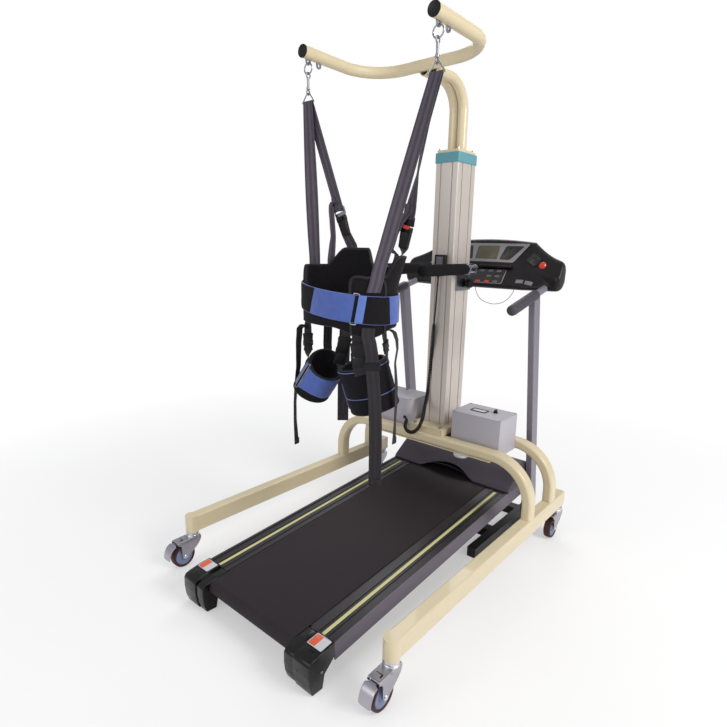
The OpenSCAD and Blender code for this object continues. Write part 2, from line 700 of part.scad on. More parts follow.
// The webs that hold the cuffs part at a side release buckle
module buckled(c) {
    a = c[0][1];
    b = c[0][2];
    u = c[1][1];
    v = c[1][2];
    strap([c[0][0], a, mix(a, b, 0.3)], [c[1][0], u, mix(u, v, 0.3)], 2, c[2]);
    ribbon([mix(a, b, 0.304), mix(a, b, 0.746)], [mix(u, v, 0.3), mix(u, v, 0.75)], c[2] + 10, 9);
    strap([mix(a, b, 0.75), b, c[0][3]], [mix(u, v, 0.75), v, c[1][3]], 2, c[2]);
}
module leg_webbing() color(webbing) for (k = [0:len(webs) - 1])
    if (k < 5)
        buckled(webs[k]);
    else
        strap(webs[k][0], webs[k][1], 3, webs[k][2]);

// Handles on the column's sides
plate_x = column_w / 2 + slip;
knob_hole_d = 8;
plate_h = handle_z - knob_z + 54;
saddle_y = column_y + column_d / 2 + slip + plate_t;
knob_y = column_y + 36;
module grip_bars() color(chrome) difference() {
    union() {
        both_sides() {
            translate([handle_x, handle_y + 12, handle_z]) rod_y(handle_d, handle_back - handle_y - 12);
            translate([handle_x, handle_back - 10, handle_z]) rod_y(handle_d + 4, 14);
            translate([plate_x, column_y - 46, knob_z - 32]) cube([plate_t, saddle_y - column_y + 46, plate_h]);
            translate([plate_x, column_y + 14, handle_z - handle_d / 2 - 5])
                cube([handle_x - plate_x + 6, 28, handle_d + 10]);
        }
        translate([-plate_x - plate_t, saddle_y - plate_t, knob_z - 32])
            cube([2 * (plate_x + plate_t), plate_t, plate_h]);
    }
    both_sides() {
        translate([handle_x, handle_y + 6, handle_z]) rod_y(handle_d - 5, handle_back - handle_y - 14);
        translate([plate_x + plate_t / 2, knob_y, knob_z]) rod_x(knob_hole_d + 2 * run_gap, plate_t + 2);
    }
}
module foam_grips() color(black) both_sides() translate([handle_x, handle_y, handle_z])
    rotate([-90, 0, 0]) rotate_extrude() difference() {
        union() {
            translate([0, foam_d / 2]) square([foam_d / 2, foam_l - foam_d / 2]);
            intersection() {
                translate([0, foam_d / 2]) circle(foam_d / 2);
                square([foam_d, foam_d / 2]);
            }
        }
        translate([0, 12 - slip]) square([handle_d / 2 + seat / 2, foam_l]);
    }
module clamp_knob() {
    translate([plate_x + 0.5, knob_y, knob_z]) rotate([0, 90, 0]) {
        cylinder(d = knob_hole_d, h = plate_t + 12);
        translate([0, 0, plate_t + 8]) difference() {
            cylinder(d = 42, h = 22);
            for (a = [0:72:359]) rotate([0, 0, a]) translate([24, 0, -1]) cylinder(d = 14, h = 24);
        }
    }
}
module clamp_knob_right() color(black) clamp_knob();
module clamp_knob_left() color(black) mirror([1, 0, 0]) clamp_knob();

// Boxes on the shelf
box_y0 = front_y + arch_w / 2 + 1;
box_y1 = rear_y - arch_w / 2 - 1;
box_d = box_y1 - box_y0;
box_wall = 2;
lid_t = 3;
box_top = arch_clear + box_h + lid_t;
knob_at = [box_x + box_l * 0.68, box_y0 + box_d * 0.62];
module control_box() color(grey) {
    translate([box_x, box_y0, arch_clear]) difference() {
        cube([box_l, box_d, box_h]);
        translate([box_wall, box_wall, box_wall]) cube([box_l - 2 * box_wall, box_d - 2 * box_wall, box_h]);
    }
    difference() {
        translate([box_x, box_y0, arch_clear + box_h + seat]) cube([box_l, box_d, lid_t - seat]);
        translate([knob_at[0], knob_at[1], arch_clear + box_h - 1])
            cylinder(d = 8 + 2 * run_gap, h = lid_t + 2);
    }
    translate([box_x + box_l * 0.24, box_y0 + box_d * 0.36, box_top]) difference() {
        cube([78, 44, 3]);
        translate([6, 6, 1]) cube([66, 32, 3]);
    }
}
module power_knob() color(black) translate([knob_at[0], knob_at[1], box_top]) {
    translate([0, 0, -lid_t - 4]) cylinder(d = 8, h = lid_t + 6);
    translate([0, 0, slip]) difference() {
        cylinder(d = 22, h = 14);
        for (s = [-1, 1]) translate([s * 10, 0, 8]) cube([12, 30, 14], center = true);
    }
}
supply_x = -110;
supply_h = box_h + 2;
button_at = [supply_x - 134, box_y0 + box_d * 0.86];
module supply_outline(in = 0) translate([supply_x - supply_l + in, box_y0 + in]) {
    w = supply_l - 2 * in;
    d = box_d - 2 * in;
    corner = 30 - in;
    square([w - corner, d]);
    translate([0, corner]) square([w, d - corner]);
    translate([w - corner, corner]) circle(corner);
}
module supply_box() color(grey) {
    translate([0, 0, arch_clear]) difference() {
        linear_extrude(supply_h) supply_outline();
        translate([0, 0, box_wall]) linear_extrude(supply_h) supply_outline(box_wall);
    }
    translate([0, 0, arch_clear + supply_h + seat]) difference() {
        linear_extrude(lid_t) supply_outline();
        translate([button_at[0], button_at[1], -1]) cylinder(d = 16 + 2 * slip, h = lid_t + 2);
    }
    translate([button_at[0], button_at[1], arch_clear + supply_h - 18]) difference() {
        cylinder(d = 24, h = 18.6);
        translate([0, 0, 3]) cylinder(d = 16 + 2 * slip, h = 18);
    }
}
press = 3;
module supply_button() color(teal)
    translate([button_at[0], button_at[1], arch_clear + supply_h - 15 + press + 1]) cylinder(d = 16, h = 20);

// Pendant on the front of the column
pendant_y = column_face - seat;
pendant_z = handle_z - 27;
pad_d = 14;
pad_press = 2;
pad_l = 12;
pad_out = 3;
pads = [pendant_z + pendant_h * 0.72, pendant_z + pendant_h * 0.4];
module pendant_body() color(charcoal) {
    difference() {
        translate([0, pendant_y, pendant_z + pendant_h / 2]) rotate([90, 0, 0])
            linear_extrude(pendant_d) round_rect(pendant_w, pendant_h, 14);
        for (z = pads)
            translate([0, pendant_y - pendant_d - 1, z])
                rod_y(pad_d + 2 * slip, pad_l - pad_out + pad_press + 2);
    }
    translate([cord_down[0][0], cord_down[0][1], cord_down[0][2] + seat])
        cylinder(d1 = cord_d + 2, d2 = cord_d + 5, h = pendant_z - cord_down[0][2] - 2 * seat);
}
module pendant_pad(z) color(grey)
    translate([0, pendant_y - pendant_d - pad_out, z]) rod_y(pad_d, pad_l);
module pendant_up_button() pendant_pad(pads[0]);
module pendant_down_button() pendant_pad(pads[1]);
curl_steps = 8;
curl_top = cord_down[len(cord_down) - 1];
curl_end = cord_loop[0];
curl_path = [for (i = [1:curls * curl_steps - 1])
    let (u = i / (curls * curl_steps), a = 360 * i / curl_steps,
         r = curl_r * clamp01(min(u, 1 - u) * curls * 2))
    mix(curl_top, curl_end, u) + r * [cos(a), sin(a), 0]];
curl_gap = min([for (i = [0:len(curl_path) - curl_steps - 3], k = [-2:2])
    norm(curl_path[i + curl_steps + k] - curl_path[i])]) - cord_d;
module curly_cord() color(black) {
    cord(concat(cord_down, curl_path, cord_loop), cord_d, 6, [1, 0, 0]);
}

// Casters: stem, fork and axle turn as one, the wheel runs on the axle
caster_at = [[-leg_x, caster_front], [leg_x, caster_front], [-leg_x, caster_rear], [leg_x, caster_rear]];
axle_z = wheel_d / 2;
crown_z = leg_clear - slip - 16;
cheek = 4;
cheek_x = wheel_w / 2 + 1 + cheek / 2;
pedal_y = -24;
pedal_z = crown_z - 12;
pin_d = 6;
module fork_cheek() {
    difference() {
        union() {
            translate([-trail, axle_z]) circle(14);
            polygon([[-trail - 13, axle_z + 5], [-trail - 2, axle_z - 13.8], [-trail + 12, axle_z - 7],
                     [30, crown_z - 16], [30, crown_z + 1], [-42, crown_z + 1], [-48, crown_z - 14]]);
        }
        translate([pedal_y, pedal_z]) circle(d = pin_d + 2 * run_gap);
    }
}
module caster_fork(i) color(zinc) translate([caster_at[i][0], caster_at[i][1], 0]) {
    for (s = [-1, 1]) translate([s * cheek_x, 0, 0]) along_x(cheek) fork_cheek();
    translate([-cheek_x - cheek / 2, -42, crown_z]) cube([2 * cheek_x + cheek, 72, 5]);
    translate([0, 0, crown_z + 4]) cylinder(d = 54, h = 12);
    translate([0, 0, crown_z + 4]) cylinder(d = stem_d, h = leg_clear - crown_z - 4 + stem_l);
    translate([0, -trail, axle_z]) {
        rod_x(axle_d, 2 * cheek_x + cheek);
        for (s = [-1, 1]) translate([s * (cheek_x + cheek / 2 + 2), 0, 0]) rod_x(axle_d + 6, 5);
    }
}
module caster_wheel(i) color(hub_blue)
    translate([caster_at[i][0], caster_at[i][1] - trail, axle_z]) rotate([0, 90, 0])
        rotate_extrude() polygon([[axle_d / 2 + run_gap, -wheel_w / 2], [wheel_d / 2 - 18, -wheel_w / 2],
            [wheel_d / 2 - 15, -wheel_w / 2 + 4], [wheel_d / 2 - 12, -wheel_w / 2 + 1],
            [wheel_d / 2 - 4, -wheel_w / 2 + 1], [wheel_d / 2, -wheel_w / 2 + 7],
            [wheel_d / 2, wheel_w / 2 - 7], [wheel_d / 2 - 4, wheel_w / 2 - 1],
            [wheel_d / 2 - 12, wheel_w / 2 - 1], [wheel_d / 2 - 15, wheel_w / 2 - 4],
            [wheel_d / 2 - 18, wheel_w / 2], [axle_d / 2 + run_gap, wheel_w / 2]]);
module brake_pedal(i) color(zinc) translate([caster_at[i][0], caster_at[i][1] + pedal_y, pedal_z]) {
    rod_x(pin_d, 2 * cheek_x + cheek + 2);
    rod_x(12, wheel_w);
    translate([-wheel_w / 2, -60, -2]) cube([wheel_w, 58, 4]);
    translate([-24, -104, -2]) cube([48, 46, 4]);
    translate([-24, -104, -2]) cube([48, 4, 12]);
}
module caster_fork_front_left() caster_fork(0);
module caster_fork_front_right() caster_fork(1);
module caster_fork_rear_left() caster_fork(2);
module caster_fork_rear_right() caster_fork(3);
module caster_wheel_front_left() caster_wheel(0);
module caster_wheel_front_right() caster_wheel(1);
module caster_wheel_rear_left() caster_wheel(2);
module caster_wheel_rear_right() caster_wheel(3);
module brake_pedal_left() brake_pedal(0);
module brake_pedal_right() brake_pedal(1);

// Treadmill deck, in a frame that slopes with it: y = 0 at the rear caps, z = 0 on the rails
module on_deck() translate([tread_x, deck_y, deck_z]) rotate([deck_tilt, 0, 0]) children();
board_top = roller_z + roller_d / 2;
ledge = 14;
board_t = 18;
motor_plate_y = front_roller_y + 32;
module rail_profile() {
    translate([rail_in, -rail_t]) square([rail_out - rail_in, rail_t]);
    translate([rail_out - rail_t, -rail_h]) square([rail_t, rail_h]);
    translate([rail_in, -rail_h]) square([rail_t, rail_h]);
    translate([rail_in - ledge, board_top - board_t - 5]) square([ledge + 1, 5]);
    translate([rail_in + 26, 0]) square([10, 3]);
    translate([rail_out - 44, 0]) square([8, 3]);
    translate([rail_out - 12, 0]) square([12, 4]);
}
module tread_rails() color(charcoal) on_deck() {
    both_sides() difference() {
        rotate([90, 0, 0]) mirror([0, 0, 1]) linear_extrude(rail_l) rail_profile();
        translate([rail_in, front_roller_y, roller_z]) rod_x(shaft_d + 2 * run_gap, 40);
        translate([rail_in - ledge - 1, front_roller_y - roller_d, -rail_h])
            cube([ledge + 0.5, 2 * roller_d + 60, rail_h]);
        translate([rail_in - 1, hood_y - 1, 0]) cube([rail_out - rail_in + 2, rail_l, 10]);
    }
    translate([-rail_in, motor_plate_y, -10]) cube([2 * rail_in, 70, 5]);
}
module deck_board() color([0.45, 0.36, 0.28]) on_deck()
    translate([-rail_in + 1, 10, board_top - board_t])
        cube([2 * rail_in - 2, front_roller_y - roller_d - 20, board_t]);
module belt_loop(r) {
    for (y = [rear_roller_y, front_roller_y]) translate([y, roller_z]) circle(r);
    translate([rear_roller_y, roller_z - r]) square([front_roller_y - rear_roller_y, 2 * r]);
}
module running_belt() color(black) on_deck() along_x(belt_w) difference() {
    belt_loop(roller_d / 2 + slip + belt_t);
    belt_loop(roller_d / 2 + slip);
}
module roller(y, shaft_l) on_deck() translate([0, y, roller_z]) {
    rod_x(roller_d, roller_l);
    rod_x(shaft_d, shaft_l);
}
module front_roller() color(zinc) roller(front_roller_y, 2 * (rail_in + rail_t + 4));
module rear_roller() color(zinc) roller(rear_roller_y, 2 * (rail_in + rail_t + 4));
motor_d = 78;
module drive_motor() color(charcoal) on_deck() translate([0, motor_plate_y + 36, -5]) {
    translate([-70, -30, 0]) cube([140, 60, 12]);
    translate([0, 0, motor_d / 2 + 4]) rod_x(motor_d, 190);
}
hood_profile = [[0, 0], [6, 18], [26, 52], [66, 86], [112, 102], [160, 105], [212, 92], [240, 60], [250, 0]];
module hood_outline(in = 0) {
    polygon([for (p = hood_profile)
        [hood_y + mix(125, p[0], 1 - in / 125) , p[1] * (hood_h / 105) * (1 - in / hood_h)]]);
}
module motor_hood() color(charcoal) on_deck() translate([0, 0, seat]) difference() {
    along_x(2 * rail_out) hood_outline();
    translate([0, 0, -0.01]) along_x(2 * (rail_out - hood_t)) hood_outline(hood_t);
    translate([-10, hood_y - 20, -280]) rod_y(2 * 325, 130);
}
module end_cap_outline() {
    polygon([[deck_y - slip, 30], [deck_y - slip, deck_z + 9], [tread_rear + 62, deck_z + 5],
             [tread_rear + 30, deck_z], [tread_rear + 8, deck_z - 18], [tread_rear, deck_z - 46],
             [tread_rear, 66], [tread_rear + 10, 30], [tread_rear + 30, 0], [deck_y - 30, 0]]);
}
module end_caps() color(black) difference() {
    translate([tread_x, 0, 0]) both_sides()
        translate([(belt_w / 2 + 3 + rail_out + 3) / 2, 0, 0]) along_x(rail_out - belt_w / 2) end_cap_outline();
    on_deck() translate([0, rear_roller_y, roller_z]) rod_x(shaft_d + 2 * run_gap, 2 * (rail_in + rail_t + 6));
}
module tread_base() color(charcoal) translate([tread_x, 0, 0]) {
    rail_low = deck_z + (bracket_y + bracket_l / 2 - deck_y) * tan(deck_tilt) - rail_t - 6;
    both_sides() {
        translate([base_in, base_y, 0]) cube([base_w, base_end - base_y, base_h]);
        translate([rail_out - rail_t - seat - 5, bracket_y, base_h - 1])
            cube([5, bracket_l, rail_low - base_h]);
    }
    for (y = bars_y) translate([-base_in - 1, y - 25, 2]) cube([2 * base_in + 2, 50, base_h - 4]);
}
rail_slope = atan2(rail_top_z - grip_z, rail_root_y - grip_y);
rail_run = norm([rail_root_y - grip_y, rail_top_z - grip_z]);
module on_handrail() translate([tread_x, grip_y, grip_z]) rotate([rail_slope, 0, 0]) both_sides()
    translate([upright_x, 0, 0]) children();
module uprights() color(grey) difference() {
    translate([tread_x, 0, 0]) both_sides() translate([upright_x, upright_foot, 0])
        rotate([upright_lean, 0, 0]) translate([0, 0, -40]) linear_extrude(rail_top_z + 68) difference() {
            round_rect(upright_w, upright_d, 4);
            round_rect(upright_w - 5, upright_d - 5, 2);
        }
    translate([-600, 0, -200]) cube([1200, 1200, 200]);
    on_handrail() {
        rod_y(rail_d + 2 * seat, rail_run);
        translate([-50, 0, 0]) cube([100, rail_run, 300]);
    }
}
module handrails() color(grey) on_handrail() {
    translate([0, 8, 0]) rod_y(rail_d, rail_run - 8);
    rotate([-90, 0, 0]) rotate_extrude() difference() {
        union() {
            translate([0, grip_d / 2]) square([grip_d / 2, grip_l - grip_d / 2]);
            intersection() {
                translate([0, grip_d / 2]) circle(grip_d / 2);
                square([grip_d, grip_d / 2]);
            }
        }
        translate([0, 8 - slip]) square([rail_d / 2 + seat / 2, grip_l]);
    }
}

// Console on the hand rails, with wings that fall away and come towards the user
wing_x = 250;
stop_at = [327, tread_front - 113, rail_top_z + 95];
stop_tilt = 24;
mid_slice = [[-140, -12], [-48, 210], [-22, 219], [0, 198], [0, 38], [-90, -20], [-122, -20]];
tip_slice = [[-160, 10], [-162, 43], [-124, 112], [-90, 118], [-70, 90], [-74, 18], [-112, -6]];
module slice(x, outline) translate([x, tread_front, rail_top_z]) along_x(0.2) polygon(outline);
module at_stop() translate([tread_x + stop_at[0], stop_at[1], stop_at[2]])
    rotate([90 - stop_tilt, 0, 0]) children();
module console() color(black) difference() {
    translate([tread_x, 0, 0]) {
        translate([0, tread_front, rail_top_z]) along_x(2 * wing_x) polygon(mid_slice);
        both_sides() hull() {
            slice(wing_x - 0.1, mid_slice);
            slice(console_a - 0.1, tip_slice);
        }
    }
    on_handrail() rod_y(rail_d + 2 * seat, rail_run + 6);
    at_stop() translate([0, 0, -11 - stop_travel]) cylinder(d = stop_d + 2 * slip, h = 60);
}
module stop_button() color(red) at_stop() {
    translate([0, 0, -10]) cylinder(d = stop_d, h = 16);
    translate([0, 0, 6]) cylinder(d1 = stop_d, d2 = stop_d - 12, h = 6);
}
module lanyard() color(grey) cord(lanyard_path, lanyard_d, 8, [0, 1, 0]);

echo(least_gap_between_curls = curl_gap);

legs();
front_arch();
rear_arch();
shelf_plate();
column_base_plate();
column_outer();
column_collar();
lift_motor();
grip_bars();
foam_grips();
control_box();
supply_box();
pendant_body();
curly_cord();
clamp_knob_left();
clamp_knob_right();
power_knob();
supply_button();
pendant_up_button();
pendant_down_button();
caster_fork_front_left();
caster_fork_front_right();
caster_fork_rear_left();
caster_fork_rear_right();
caster_wheel_front_left();
caster_wheel_front_right();
caster_wheel_rear_left();
caster_wheel_rear_right();
brake_pedal_left();
brake_pedal_right();
lead_screw();
column_inner();
mast_flange();
riser_tubes();
yoke();
yoke_end_caps();
strap_rings();
snap_hooks();
harness_straps();
buckle_bodies();
buckle_button_left();
buckle_button_right();
vest();
waist_belt();
leg_cuffs();
leg_webbing();
tread_rails();
deck_board();
running_belt();
front_roller();
rear_roller();
drive_motor();
motor_hood();
end_caps();
tread_base();
uprights();
console();
stop_button();
lanyard();
handrails();
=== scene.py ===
import math
import bmesh
import bpy
import numpy as np
from mathutils import Matrix


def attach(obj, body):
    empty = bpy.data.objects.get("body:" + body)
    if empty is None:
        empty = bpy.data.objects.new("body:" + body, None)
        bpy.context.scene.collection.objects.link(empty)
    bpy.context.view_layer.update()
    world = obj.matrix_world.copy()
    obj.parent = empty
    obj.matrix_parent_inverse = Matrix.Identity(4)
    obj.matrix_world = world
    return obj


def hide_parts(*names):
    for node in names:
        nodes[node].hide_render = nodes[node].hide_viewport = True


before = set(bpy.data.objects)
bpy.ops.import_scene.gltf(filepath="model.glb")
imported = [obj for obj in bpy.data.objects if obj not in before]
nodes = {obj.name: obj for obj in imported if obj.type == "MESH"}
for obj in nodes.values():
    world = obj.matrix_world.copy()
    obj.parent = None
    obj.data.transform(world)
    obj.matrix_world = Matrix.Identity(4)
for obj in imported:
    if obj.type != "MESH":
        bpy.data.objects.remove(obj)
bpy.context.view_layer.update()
scene = bpy.context.scene
mm = 0.001
print("stage: frame loaded,", len(nodes), "nodes")


def linked(name, data):  # new object of that data, in the scene
    made = bpy.data.objects.new(name, data)
    scene.collection.objects.link(made)
    return made


def stood(made, x, y, z, place):  # object at a place, its own axes along three directions
    turn = np.eye(4)
    turn[:3, 0], turn[:3, 1], turn[:3, 2], turn[:3, 3] = x, y, z, place
    made.matrix_world = Matrix(turn.tolist())


# Camera of the photograph: place in metres, turns in degrees
shot = {"place": (1.339, -1.736, 1.339), "yaw": 40.56, "pitch": 12.57, "roll": 1.04,
        "lens": 26.19, "sensor": 36, "shift": (0.0026, 0.00165)}
yaw, pitch, roll = (math.radians(shot[k]) for k in ("yaw", "pitch", "roll"))
ahead = np.array([-math.sin(yaw) * math.cos(pitch), math.cos(yaw) * math.cos(pitch), -math.sin(pitch)])
level = np.array([math.cos(yaw), math.sin(yaw), 0.0])
above = np.cross(level, ahead)
right = math.cos(roll) * level + math.sin(roll) * above
above = math.cos(roll) * above - math.sin(roll) * level
cameraData = bpy.data.cameras.new("photoCamera")
cameraData.lens, cameraData.sensor_width = shot["lens"], shot["sensor"]
cameraData.shift_x, cameraData.shift_y = shot["shift"]
scene.camera = linked("photoCamera", cameraData)
stood(scene.camera, right, above, -ahead, shot["place"])


# Shader values: arithmetic on a Sock adds Math nodes
class Sock:
    def __init__(self, tree, out):
        self.tree, self.out = tree, out

    def math(self, operation, *values):
        return node(self.tree, "ShaderNodeMath", {"operation": operation}, dict(enumerate(values)))

    def __add__(self, other):
        return self.math("ADD", self, other)

    def __sub__(self, other):
        return self.math("SUBTRACT", self, other)

    def __rsub__(self, other):
        return self.math("SUBTRACT", other, self)

    def __mul__(self, other):
        return self.math("MULTIPLY", self, other)

    def __gt__(self, other):
        return self.math("GREATER_THAN", self, other)

    def __lt__(self, other):
        return self.math("LESS_THAN", self, other)

    def __pow__(self, other):
        return self.math("POWER", self, other)

    def __abs__(self):
        return self.math("ABSOLUTE", self)

    __radd__, __rmul__ = __add__, __mul__

    def wave(self, period):  # sine with that period
        return self.math("SINE", self * (2 * math.pi / period))

    def clamped(self):
        return node(self.tree, "ShaderNodeClamp", {}, {0: self})


# Any other node: its type, its settings, then the values or links of its sockets
def node(tree, kind, settings=None, sockets=None, output=0):
    made = tree.nodes.new(kind)
    for key, value in (settings or {}).items():
        setattr(made, key, value)
    for key, value in (sockets or {}).items():
        if isinstance(value, Sock):
            tree.links.new(value.out, made.inputs[key])
        else:
            made.inputs[key].default_value = value
    return Sock(tree, made.outputs[output])


def tint(r, g, b):  # screen colour 0 to 255, to the linear colour a shader takes
    c = np.array([r, g, b]) / 255
    c = np.where(c <= 0.04045, c / 12.92, ((c + 0.055) / 1.055) ** 2.4)
    return (*c.tolist(), 1.0)


def darker(colour, shade):  # scaled towards black
    return tuple(c * shade for c in colour[:3]) + (1.0,)


def spot(tree, uv=False):  # Object coordinates, or the piece's own UV
    return node(tree, "ShaderNodeTexCoord", output=2 if uv else 3)


def axes(tree, vector):  # its three numbers
    split = tree.nodes.new("ShaderNodeSeparateXYZ")
    tree.links.new(vector.out, split.inputs[0])
    return [Sock(tree, split.outputs[k]) for k in range(3)]


def stretch(tree, vector, scale):  # each axis times its own scale
    return node(tree, "ShaderNodeVectorMath", {"operation": "MULTIPLY"}, {0: vector, 1: scale})


# Cloudy noise from 0 to 1, scale in cells a metre
def noise(tree, vector, scale, detail=2.0, rough=0.5):
    return node(tree, "ShaderNodeTexNoise", None,
                {"Vector": vector, "Scale": scale, "Detail": detail, "Roughness": rough})


def cells(tree, vector, scale):  # distance to the nearest of scattered points
    return node(tree, "ShaderNodeTexVoronoi", None, {"Vector": vector, "Scale": scale})


def blendColour(tree, factor, first, second):  # first at 0, second at 1
    return node(tree, "ShaderNodeMix", {"data_type": "RGBA"}, {0: factor, 6: first, 7: second}, 2)


def relief(tree, height, distance):  # bump as deep as distance, in metres
    return node(tree, "ShaderNodeBump", None, {"Strength": 1.0, "Distance": distance, "Height": height})


# One finish: a recipe returns what goes to the shader's sockets
def finish(name, recipe):
    made = bpy.data.materials.new(name)
    made.use_nodes = True
    tree = made.node_tree
    shader = tree.nodes["Principled BSDF"]
    for key, value in recipe(tree).items():
        if isinstance(value, Sock):
            tree.links.new(value.out, shader.inputs[key])
        else:
            shader.inputs[key].default_value = value
    return made


def painted(name, colour, rough=0.3, peel=0.00006, shade=0.92, coat=0.4, metal=0.0):
    # paint: slow drift of tone, orange peel of about 2 mm, dull patches in the gloss
    def recipe(tree):
        at = spot(tree)
        drift = noise(tree, at, 9.0, 3.0)
        dark = darker(colour, shade)
        return {"Base Color": blendColour(tree, drift, dark, colour), "Metallic": metal,
                "Roughness": rough - 0.06 + 0.14 * noise(tree, at, 60.0, 3.0), "Coat Weight": coat,
                "Normal": relief(tree, noise(tree, at, 480.0, 1.0), peel)}
    return finish(name, recipe)


def moulded(name, colour, rough=0.45, grain=900.0, depth=0.00008, shade=0.72, coat=0.0, shine=0.3):
    # moulded plastic: pebbled grain, slightly rubbed patches
    def recipe(tree):
        at = spot(tree)
        rub = noise(tree, at, 26.0, 4.0, 0.6)
        dark = darker(colour, shade)
        return {"Base Color": blendColour(tree, rub, dark, colour), "Coat Weight": coat, "Specular IOR Level": shine,
                "Roughness": rough - 0.1 + 0.2 * rub,
                "Normal": relief(tree, cells(tree, at, grain), depth)}
    return finish(name, recipe)


def metalled(name, colour, rough, streak, depth=0.00002, shade=0.86, metal=1.0):
    # bare metal: fine streaks drawn out along one axis
    def recipe(tree):
        at = spot(tree)
        lines = noise(tree, stretch(tree, at, streak), 1.0, 4.0, 0.6)
        dull = noise(tree, at, 14.0, 3.0)
        dark = darker(colour, shade)
        return {"Base Color": blendColour(tree, lines, dark, colour), "Metallic": metal,
                "Roughness": rough - 0.08 + 0.1 * lines + 0.12 * dull,
                "Normal": relief(tree, lines, depth)}
    return finish(name, recipe)


def woven(name, colour, pale, rib=0.0034):
    # webbing: ribs along the strap, a fine cross weave between them, a few paler bands; UV in metres
    def recipe(tree):
        across, along, _ = axes(tree, spot(tree, True))
        ribs = across.wave(rib)
        picks = along.wave(0.0016) * across.wave(0.0017)
        band = (across.wave(0.0205) * 0.5 + 0.5) * 0.65 + 0.35 * noise(tree, spot(tree), 40.0, 3.0)
        return {"Base Color": blendColour(tree, band.clamped(), colour, pale),
                "Sheen Weight": 0.1, "Sheen Roughness": 0.4, "Specular IOR Level": 0.35,
                "Roughness": 0.5 + 0.12 * noise(tree, spot(tree), 300.0),
                "Normal": relief(tree, ribs * 0.7 + picks * 0.45, 0.00022)}
    return finish(name, recipe)


def knitted(name, colour, pale, stitch=1100.0, fold=0.0011):
    # padded cover: fine knit cells, soft dents, lint-pale patches
    def recipe(tree):
        at = spot(tree)
        knit = cells(tree, at, stitch)
        dents = noise(tree, at, 22.0, 3.0, 0.55)
        lint = noise(tree, at, 90.0, 4.0, 0.65)
        both = dents * fold + knit * 0.0001
        return {"Base Color": blendColour(tree, lint * lint, colour, pale), "Roughness": 0.8 + 0.15 * lint,
                "Sheen Weight": 0.04, "Sheen Roughness": 0.5, "Specular IOR Level": 0.15,
                "Normal": relief(tree, both, 1.0)}
    return finish(name, recipe)


def looped(name, colour, pale):
    # brushed loop cloth: short fuzz that lies in patches
    def recipe(tree):
        at = spot(tree)
        fuzz = noise(tree, at, 1300.0, 2.0, 0.7)
        nap = noise(tree, at, 38.0, 4.0, 0.6)
        return {"Base Color": blendColour(tree, (nap * 0.7 + fuzz * 0.5 - 0.1).clamped(), colour, pale),
                "Roughness": 0.85 + 0.1 * nap, "Sheen Weight": 0.5, "Sheen Roughness": 0.45,
                "Normal": relief(tree, fuzz * 0.0005 + nap * 0.0006, 1.0)}
    return finish(name, recipe)


def runningRubber(tree):
    # treadmill belt: crossed fine ribs, pale scuffs along the walking line
    at = spot(tree)
    x, y, _ = axes(tree, at)
    cross = x.wave(0.0042) * y.wave(0.0042)
    scuff = noise(tree, stretch(tree, at, (9.0, 3.0, 9.0)), 1.0, 6.0, 0.7)
    worn = ((scuff - 0.56) * 4.0).clamped()
    return {"Base Color": blendColour(tree, worn * 0.5, tint(42, 36, 40), tint(66, 59, 64)),
            "Roughness": 0.62 + 0.2 * worn, "Specular IOR Level": 0.25, "Normal": relief(tree, cross, 0.00016)}


def boardGrain(tree):
    # deck board: long grain along the walking line
    at = spot(tree)
    grain = noise(tree, stretch(tree, at, (60.0, 4.0, 60.0)), 1.0, 5.0, 0.6)
    return {"Base Color": blendColour(tree, grain, tint(38, 33, 32), tint(58, 50, 46)), "Roughness": 0.6,
            "Normal": relief(tree, grain, 0.0002)}


def platedWith(name, plate, bolts, mask, metal=1.0):
    # a painted plate whose bolt heads are bare metal: mask tells them by their place in metres
    def recipe(tree):
        at = spot(tree)
        head = mask(*axes(tree, at))
        drift = noise(tree, at, 12.0, 3.0)
        paint = blendColour(tree, drift, darker(plate, 0.9), plate)
        return {"Base Color": blendColour(tree, head, paint, bolts), "Metallic": head * metal,
                "Roughness": 0.36 - 0.08 * head + 0.1 * noise(tree, at, 80.0),
                "Normal": relief(tree, noise(tree, at, 480.0, 1.0), 0.00006)}
    return finish(name, recipe)


creamTone, zincTone = tint(224, 209, 174), tint(160, 160, 166)
creamPaint = painted("creamPaint", creamTone)
columnMetal = metalled("columnMetal", tint(224, 215, 207), 0.38, (420.0, 420.0, 3.0), metal=0.45)
tealPlastic = moulded("tealPlastic", tint(104, 164, 176), 0.38, 700.0, 0.00004, 0.86)
zincPlate = metalled("zincPlate", zincTone, 0.34, (90.0, 90.0, 90.0), 0.00003)
casterZinc = metalled("casterZinc", tint(190, 187, 195), 0.36, (90.0, 90.0, 90.0), 0.00003)
collarZinc = metalled("collarZinc", tint(232, 232, 238), 0.24, (60.0, 60.0, 60.0), 0.00001)
chromePlate = metalled("chromePlate", tint(168, 168, 174), 0.2, (40.0, 40.0, 40.0), 0.00001, 0.92)
blackFoam = moulded("blackFoam", tint(26, 24, 26), 0.85, 420.0, 0.0005, shine=0.12)
blackPlastic = moulded("blackPlastic", tint(24, 22, 25), 0.4)
glossBlack = moulded("glossBlack", tint(12, 11, 12), 0.26, 1200.0, 0.00002, 0.8, 0.3)
hoodPlastic = moulded("hoodPlastic", tint(84, 77, 90), 0.42, 900.0, 0.00006, 0.86)
gripRubber = moulded("gripRubber", tint(74, 70, 80), 0.5, 1000.0, 0.00008, 0.85)
consolePlastic = moulded("consolePlastic", tint(28, 25, 28), 0.36, 1200.0, 0.00005, 0.75, 0.08)
greyPlastic = moulded("greyPlastic", tint(120, 118, 126), 0.45)
boxPaint = painted("boxPaint", tint(184, 181, 190), 0.45, 0.00014, 0.94, 0.0)
railPaint = painted("railPaint", tint(40, 36, 40), 0.36, 0.00005, 0.8, 0.05)
